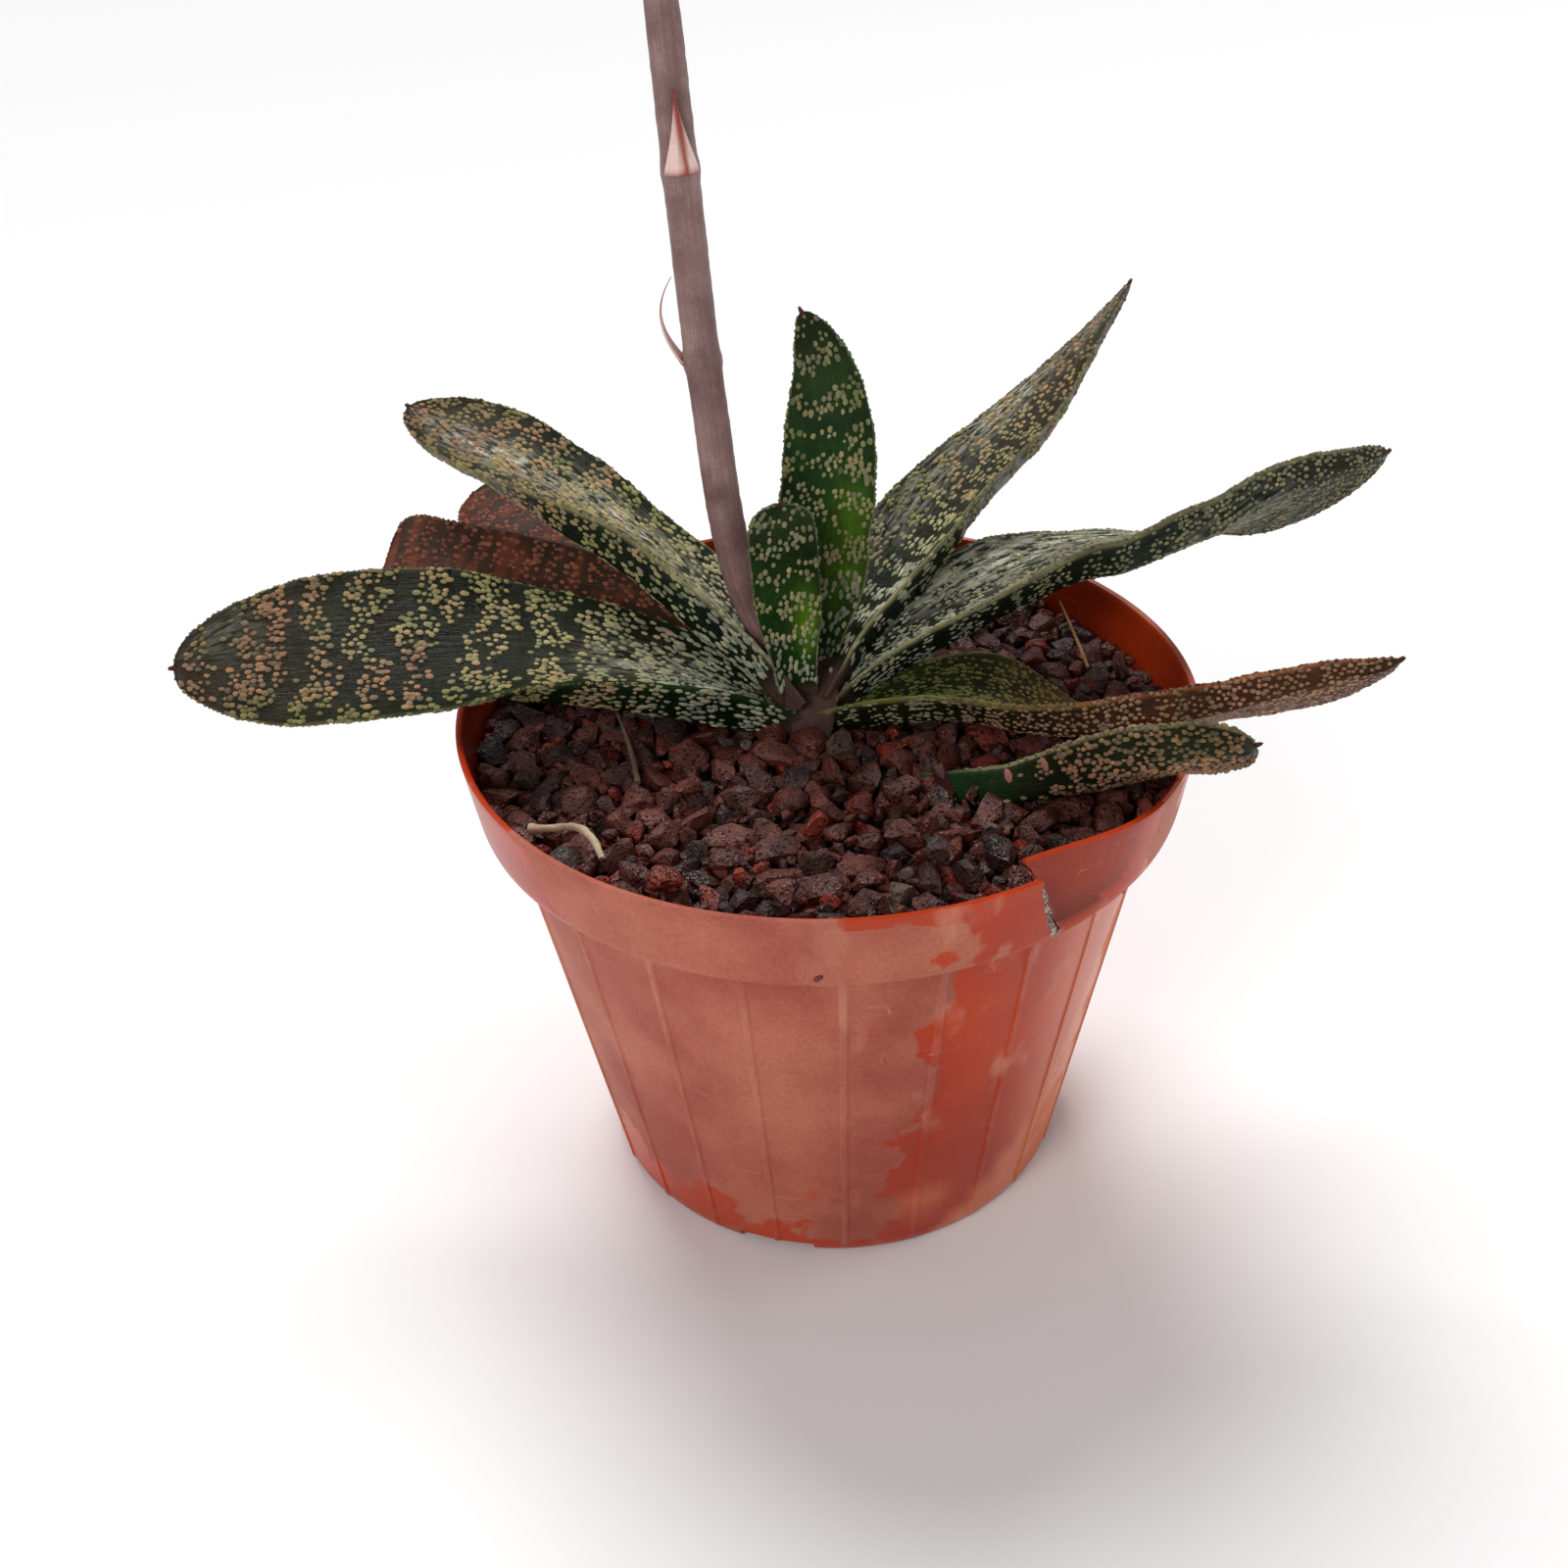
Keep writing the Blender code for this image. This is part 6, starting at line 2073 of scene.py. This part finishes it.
# ------------------------------------------------------------------------------- the plant
class Gasteria:
    """All the leaves of the plant."""

    RED = Skin(deep=linear(0.22, 0.15, 0.11), fresh=linear(0.31, 0.21, 0.16), edge=linear(0.58, 0.50, 0.46),
               edge_base=linear(0.50, 0.42, 0.38), under=linear(0.22, 0.13, 0.10), flush_strength=0.0,
               stripes=0.8, stripe_tint=linear(0.47, 0.23, 0.16))
    GREEN = Skin(deep=linear(0.06, 0.13, 0.05), fresh=linear(0.13, 0.30, 0.07), under=linear(0.10, 0.2, 0.06),
                 edge=linear(0.50, 0.52, 0.38), flush_strength=0.3, glow=0.9)
    BROWNED = Skin(deep=linear(0.08, 0.10, 0.03), fresh=linear(0.19, 0.20, 0.05), flush_from=0.5,
                   flush_strength=0.85, flush=linear(0.34, 0.17, 0.09), under=linear(0.07, 0.09, 0.045),
                   edge=linear(0.70, 0.42, 0.30), edge_base=linear(0.55, 0.57, 0.30))
    REDDISH_WARTS = Warts(near=linear(0.74, 0.54, 0.40), middle=linear(0.74, 0.46, 0.36),
                          far=linear(0.68, 0.42, 0.34), leafy=linear(0.64, 0.44, 0.33),
                          rim_dot=linear(0.62, 0.48, 0.42), fill=0.66, base_fill=0.72, band=4.2,
                          banding=0.9, radius=(0.35, 0.6), proud=0.3, fade=0.1)
    DENSE_WARTS = Warts(fill=0.74, base_fill=0.62, band=6.0, banding=0.3, spacing=1.15, radius=(0.3, 0.5),
                        under=1.0, fade=0.1, middle=linear(0.70, 0.69, 0.55), far=linear(0.70, 0.66, 0.52),
                        leafy=linear(0.60, 0.62, 0.46))

    @classmethod
    def shapes(cls, rim: float, rim_top: float, gravel: float) -> list[LeafShape]:
        """List the leaves.

        Args:
            rim: The rim's radius.
            rim_top: The rim's height.
            gravel: The gravel's height at the wall.

        Returns:
            One shape per leaf.
        """
        offset_root = (18.0, -14.0, gravel + 1.0)
        crossing = rim - math.hypot(*offset_root[:2])
        rise = rim_top + 0.3 - offset_root[2]
        return [
            LeafShape("leaf_inner_young", 100, [(-4, 3, 7), (-3, 4, 22), (-2, 5, 45)],
                      half_width=[(0, 3.5), (0.5, 6), (1, 6)], roll=[(0, 0), (1, 0)],
                      depth=[(0, 4), (0.5, 4), (1, 2)], channel=[(0, 1), (0.5, 1), (1, 0)],
                      taper=0.8, tip_power=3.5, keel=0.4, keel_power=1.4, skin=cls.GREEN,
                      warts=Warts(fill=0.6, base_fill=0.8, band=8.0, far=linear(0.70, 0.70, 0.55))),
            LeafShape("leaf_upright", 90,
                      [(2, 0, 6), (8, -3, 30), (11, -4.5, 52), (13, -3.5, 65), (14, 0, 74.5)],
                      half_width=[(0, 4), (0.3, 8.5), (0.6, 8.5), (1, 7)], roll=[(0, 10), (1, 0)],
                      depth=[(0, 5), (0.5, 6), (1, 2)], channel=[(0, 1), (0.3, 2), (0.5, 1.5), (1, 0)],
                      taper=0.5, tip_power=2.4, tip_round=1.6, keel=0.4, keel_power=1.4, skin=cls.GREEN,
                      warts=Warts(fill=0.64, base_fill=0.8, band=8.0, far=linear(0.70, 0.68, 0.52))),
            LeafShape("leaf_right_back", 48,
                      [(3, 0, 10), (35, 1, 30), (70, -1, 42), (90, 0, 50), (103, 1, 55)],
                      half_width=[(0, 5.5), (0.3, 10.5), (0.6, 7.2), (1, 3.5)],
                      roll=[(0, -10), (0.3, -10), (0.6, 0), (1, 0)],
                      depth=[(0, 6), (0.2, 7), (0.5, 6), (1, 2)],
                      channel=[(0, 2), (0.3, 3.5), (0.5, 1.5), (1, 0)],
                      taper=0.5, tip_power=1.6, tip_round=1.2, keel=-0.6,
                      skin=Skin(deep=linear(0.10, 0.10, 0.05), flush=linear(0.24, 0.18, 0.12), flush_from=0.6,
                                painted_sheen=((0.38, 0.6, 0.12, 0.4, 0.5), (0.62, 0.7, 0.2, 0.4, 0.7),
                                       (0.9, 0.3, 0.12, 0.8, 0.5))),
                      warts=Warts(fill=0.7, base_fill=0.48, band=7.0, under=0.9)),
            LeafShape("leaf_left_upper", 148,
                      [(3, 0, 9), (30, -1, 27), (60, 0, 38), (85, 0, 42), (95, 0, 43)],
                      half_width=[(0, 6), (0.3, 9.5), (0.62, 11), (0.8, 10), (1, 8)],
                      roll=[(0, 18), (0.4, 20), (0.62, 6), (0.78, -8), (1, -12)],
                      depth=[(0, 6), (0.2, 8), (0.5, 7.5), (0.8, 4), (1, 2)],
                      channel=[(0, 3), (0.4, 3), (0.8, 1), (1, 0)], taper=0.8, tip_power=2.5, keel=0.6,
                      skin=Skin(painted_sheen=((0.45, -0.1, 0.18, 0.4, 0.8), (0.75, 0.25, 0.2, 0.35, 0.75))),
                      warts=Warts(fill=0.76, base_fill=0.9, band=8.0, under=0.9, radius=(0.4, 0.72))),
            LeafShape("leaf_right_upper", 16,
                      [(3, 0, 7), (40, 2, 25), (75, 1, 28), (105, 0, 32), (118, 0, 36)],
                      half_width=[(0, 6), (0.3, 10), (0.6, 9), (0.85, 9.5), (1, 8)],
                      roll=[(0, 5), (0.3, 0), (0.5, -20), (0.65, -45), (0.8, -72), (1, -78)],
                      depth=[(0, 6), (0.2, 7), (0.5, 6), (1, 2)],
                      channel=[(0, 3), (0.3, 4), (0.5, 2), (1, 0)],
                      taper=0.75, tip_power=2.0, tip_round=1.8, keel=-0.6, warts=cls.DENSE_WARTS,
                      skin=Skin(painted_sheen=((0.32, 0.45, 0.15, 0.45, 0.95), (0.5, 0.7, 0.14, 0.4, 0.9),
                                       (0.7, -0.2, 0.12, 0.5, -0.5)))),
            LeafShape("leaf_left_rear", 163, [(8, -3, 3), (35, -1, 14), (65, 0, 18), (89, 0, 19)],
                      half_width=[(0, 4.5), (0.3, 10), (0.62, 12), (1, 12)],
                      roll=[(0, 0), (0.3, -30), (1, -40)],
                      depth=[(0, 4), (0.5, 4), (1, 2)], channel=[(0, 1), (0.3, 2), (0.5, 1), (1, 0)],
                      taper=0.9, tip_power=6.0, tip_round=3.0, keel=0.3, keel_power=1.5, skin=cls.RED,
                      warts=cls.REDDISH_WARTS, point=0.3),
            LeafShape("leaf_left_far", 138,
                      [(9, -3, 1), (25, -2.5, 7), (45, -2, 10), (75, 0, 15), (98, 0, 16)],
                      half_width=[(0, 4.5), (0.3, 9), (0.62, 10), (1, 10)],
                      roll=[(0, 0), (0.3, -10), (1, -20)],
                      depth=[(0, 2.5), (0.5, 3), (1, 2)], channel=[(0, 1), (0.3, 2), (0.5, 1), (1, 0)],
                      taper=0.8, tip_power=4.0, keel=0.3, keel_power=1.5, skin=cls.RED,
                      warts=cls.REDDISH_WARTS, point=0.5),
            LeafShape("leaf_right_low", -17, [(3, 0, 3), (18, 1, 9), (30, 2, 11.5), (55, 0, 9), (78, 0, 15),
                                              (106, 0, 27)],
                      half_width=[(0, 5.5), (0.3, 10), (0.6, 7), (0.9, 6.5), (1, 5)],
                      roll=[(0, -5), (0.3, -5), (0.6, -55), (1, -65)],
                      depth=[(0, 5), (0.2, 6), (0.5, 5), (1, 2)],
                      channel=[(0, 3), (0.3, 4), (0.5, 3), (1, 0)],
                      taper=0.75, tip_power=2.0, tip_round=1.8, keel=-0.6, skin=cls.BROWNED,
                      warts=Warts(fill=0.84, base_fill=0.66, band=6.0, banding=0.3, spacing=1.05,
                                  radius=(0.3, 0.5), under=1.0, fade=0.05, near=linear(0.70, 0.70, 0.55),
                                  top=(0.42, 0.50, 0.26), middle=linear(0.84, 0.70, 0.56),
                                  far=linear(0.82, 0.64, 0.54),
                                  leafy=linear(0.60, 0.50, 0.32), rim_dot=linear(0.74, 0.52, 0.40))),
            LeafShape("leaf_left_front", 183, [(3, 0, 2.5), (22, 1, 13), (48, 1, 19.5), (80, 1, 20),
                                               (105, 0, 17.5), (120, -1, 15.5)],
                      half_width=[(0, 6), (0.3, 11), (0.62, 15), (0.8, 15.5), (1, 14)],
                      roll=[(0, 6), (0.22, -3), (0.4, -16), (0.6, -33), (1, -40)],
                      depth=[(0, 6), (0.15, 8.5), (0.35, 8.5), (0.6, 4), (1, 1)],
                      channel=[(0, 3), (0.3, 3), (0.8, 0.3), (1, 0)], taper=0.66, tip_power=2.4, keel=0.7,
                      skin=Skin(painted_sheen=((0.25, 0.1, 0.10, 0.4, 0.45), (0.93, -0.5, 0.08, 0.4, 0.15)),
                                edge=linear(0.42, 0.43, 0.28), edge_base=linear(0.13, 0.26, 0.10),
                                under=linear(0.03, 0.13, 0.07)),
                      warts=Warts(fill=0.62, base_fill=0.9, band=11.5, under=0.95, radius=(0.38, 0.68))),
            LeafShape("leaf_offset", -25, [(-3, 0, -3.5), (19, 0, 3), (crossing - 4, 0, rise + 7),
                                           (crossing + 13, 0, rise + 12)],
                      half_width=[(0, 3), (0.3, 5), (0.6, 7.8), (1, 7.8)], roll=[(0, -60), (1, -60)],
                      depth=[(0, 4), (0.5, 4), (1, 2)], channel=[(0, 1), (0.5, 0), (1, 0)],
                      taper=0.82, tip_power=3.4, keel=-0.2, keel_power=1.5, root=offset_root, reach_in=2.0,
                      warts=Warts(fill=0.85, base_fill=0.02, band=5.0, banding=0.35, spacing=1.15, fade=0.1,
                                  radius=(0.36, 0.62), proud=0.8, under=1.0, filling=(0.3, 0.62),
                                  middle=linear(0.72, 0.62, 0.48),
                                  far=linear(0.80, 0.60, 0.48), leafy=linear(0.52, 0.50, 0.30)),
                      skin=Skin(deep=linear(0.09, 0.13, 0.06), fresh=linear(0.10, 0.20, 0.07),
                                under=linear(0.10, 0.12, 0.06), flush_from=0.8, flush_strength=0.5,
                                flush=linear(0.18, 0.17, 0.09), sheath=linear(0.08, 0.28, 0.10)),
                      sheath_share=0.46, scars=((0.33, -0.86), (0.46, -0.86))),
            LeafShape("crown_sheath", -102, [(-3, 0, 9), (3, 1, 6), (7.5, 1.5, 1), (10, 2, -4)],
                      half_width=[(0, 3.5), (0.4, 4.5), (1, 3.5)], roll=[(0, 0), (1, 12)],
                      depth=[(0, 3), (1, 1)], channel=[(0, 1), (1, 0)], taper=0.7, tip_power=2.0, point=0.3,
                      warts=Warts(fill=0.0, base_fill=0.0, rim_dot=linear(0.42, 0.31, 0.29)),
                      skin=Skin(deep=linear(0.26, 0.18, 0.165), fresh=linear(0.40, 0.31, 0.29),
                                under=linear(0.22, 0.15, 0.13), edge=linear(0.42, 0.33, 0.30),
                                edge_base=linear(0.42, 0.33, 0.30), flush_strength=0.0)),
        ]


FINISHES = {
    "fresh_leaf": LeafFinish("fresh_leaf_skin", shine=0.22),
    "dark_leaf": LeafFinish("dark_leaf_skin"),
    "red_leaf": LeafFinish("red_leaf_skin", roughness=0.42, shine=0.15),
    "stalk": DryFinish("stalk_skin", linear(0.62, 0.49, 0.47), linear(0.44, 0.31, 0.30), 0.5,
                       (26.0, 0.7, 1.0)),
    "bract": DryFinish("bract_paper", linear(0.96, 0.86, 0.83), linear(0.90, 0.74, 0.70), 0.6,
                       (10.0, 0.5, 1.0),
                       tinted=True, clear=0.2),
    "bud": DryFinish("bud_skin", linear(0.84, 0.46, 0.40), linear(0.70, 0.32, 0.28), 0.45, (8.0, 0.6, 1.0),
                     tinted=True, clear=0.15),
    "twig": DryFinish("pale_twig_bark", linear(0.83, 0.76, 0.64), linear(0.62, 0.52, 0.40), 0.75),
    "straw": DryFinish("straw_skin", linear(0.72, 0.52, 0.30), linear(0.50, 0.32, 0.17), 0.5),
    "stem": DryFinish("dry_stem_bark", linear(0.50, 0.42, 0.34), linear(0.30, 0.22, 0.17), 0.8),
    "dead_leaf": DryFinish("dead_leaf_skin", linear(0.42, 0.22, 0.13), linear(0.25, 0.12, 0.07), 0.55),
    "root": DryFinish("root_bark", linear(0.44, 0.34, 0.30), linear(0.28, 0.19, 0.17), 0.7),
    "mix": StoneFinish("potting_mix_crumb", linear(0.30, 0.20, 0.15), linear(0.16, 0.10, 0.08), 0.9),
    "pot": PotFinish(),
}


class Workshop:
    """Builds, dresses and places every piece."""

    def __init__(self) -> None:
        """Load the frame and mix every finish."""
        self.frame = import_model()
        self.cad_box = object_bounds()
        effects = Effects()
        self.finishes = {key: finish.mix(effects) for key, finish in FINISHES.items()}
        for kind in Lava:
            name, _, light, deep = kind.value
            self.finishes[name] = StoneFinish(name + "_stone", light, deep).mix(effects)
        low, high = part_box("pot")
        self.height = high[2] / MM
        self.rim = 0.5 * (high[0] - low[0]) / MM
        self.crown = (-3.0, 4.0, self.height - 6.0)

    def place(self, item: bpy.types.Object, finish: str, slot: str, nodes: Iterable[str] = ()) -> None:
        """Dress a piece, ride it on the body and let it stand for its nodes.

        Args:
            item: The piece.
            finish: The finish's key.
            slot: The record's material slot; not used.
            nodes: The nodes that it stands for.
        """
        item.data.materials.clear()
        item.data.materials.append(self.finishes[finish])
        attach(item, "root")
        if nodes:
            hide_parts(*nodes)
        LOG.info("%-24s %7d faces", item.name, len(item.data.polygons))

    def dress_node(self, node: str, finish: str) -> None:
        """Give a node that stays its finish.

        Args:
            node: The node.
            finish: The finish's key.
        """
        item = self.frame["nodes"][node]
        for slot in item.material_slots:
            slot.material = self.finishes[finish]

    def build(self) -> None:
        """Build the whole object."""
        pot = NurseryPot(self.height, self.rim)
        self.place(pot.build(), "pot", "pot_plastic", ["pot"])
        gravel = GravelBed(pot, self.crown[:2])
        self.place(gravel.bed(), Lava.DARK.value[0], "lava", ["lava_gravel"])
        for kind, piece in gravel.grains().items():
            self.place(piece, kind.value[0], "lava")
        for n in range(1, 11):
            kind = (Lava.BROWN, Lava.RED, Lava.BROWN, Lava.DARK)[n % 4]
            self.place(gravel.large_grain(f"lava_stone_{n}", n), kind.value[0], "lava", [f"lava_stone_{n}"])
        warts = wart_models()
        red, fresh = ("leaf_left_rear", "leaf_left_far"), ("leaf_inner_young", "leaf_upright")
        shapes = Gasteria.shapes(self.rim, self.height, self.height - gravel.drop)
        for n, shape in enumerate(shapes):
            key = "red_leaf" if shape.node in red else "fresh_leaf" if shape.node in fresh else "dark_leaf"
            nodes = [] if shape.node.startswith("crown") else [shape.node]
            self.place(Leaf(shape, self.crown, seed=n + 1).build(warts), key, key, nodes)
        flower = FlowerStalk(self.crown)
        self.place(flower.stalk(), "stalk", "stalk", ["flower_stalk"])
        for node, piece in flower.bracts():
            self.place(piece, "bract", "bract", [node])
        for n in range(flower.bud_count):
            node, piece = flower.bud(n)
            self.place(piece, "bud", "bud", [node])
        litter = Litter(gravel)
        for piece, key, node in ((litter.twig(), "twig", "curled_twig"), (litter.straw(), "straw", "straw"),
                                 (litter.stem(), "stem", "dry_stem"),
                                 (litter.dead_leaf(), "dead_leaf", "dried_leaf")):
            self.place(piece, key, "dry_litter", [node])
        self.dress_node("potting_mix", "mix")
        self.dress_node("rootstock", "root")

    def finish(self) -> None:
        """Set up the studio: camera, lights and floor."""
        studio = Studio()
        studio.camera()
        studio.light()
        studio.floor()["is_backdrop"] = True
        Bench.clear()


def main() -> None:
    """Build the potted gasteria and its studio."""
    logging.basicConfig(level=logging.INFO, format="%(message)s")
    workshop = Workshop()
    workshop.build()
    workshop.finish()


if __name__ == "__main__":
    main()
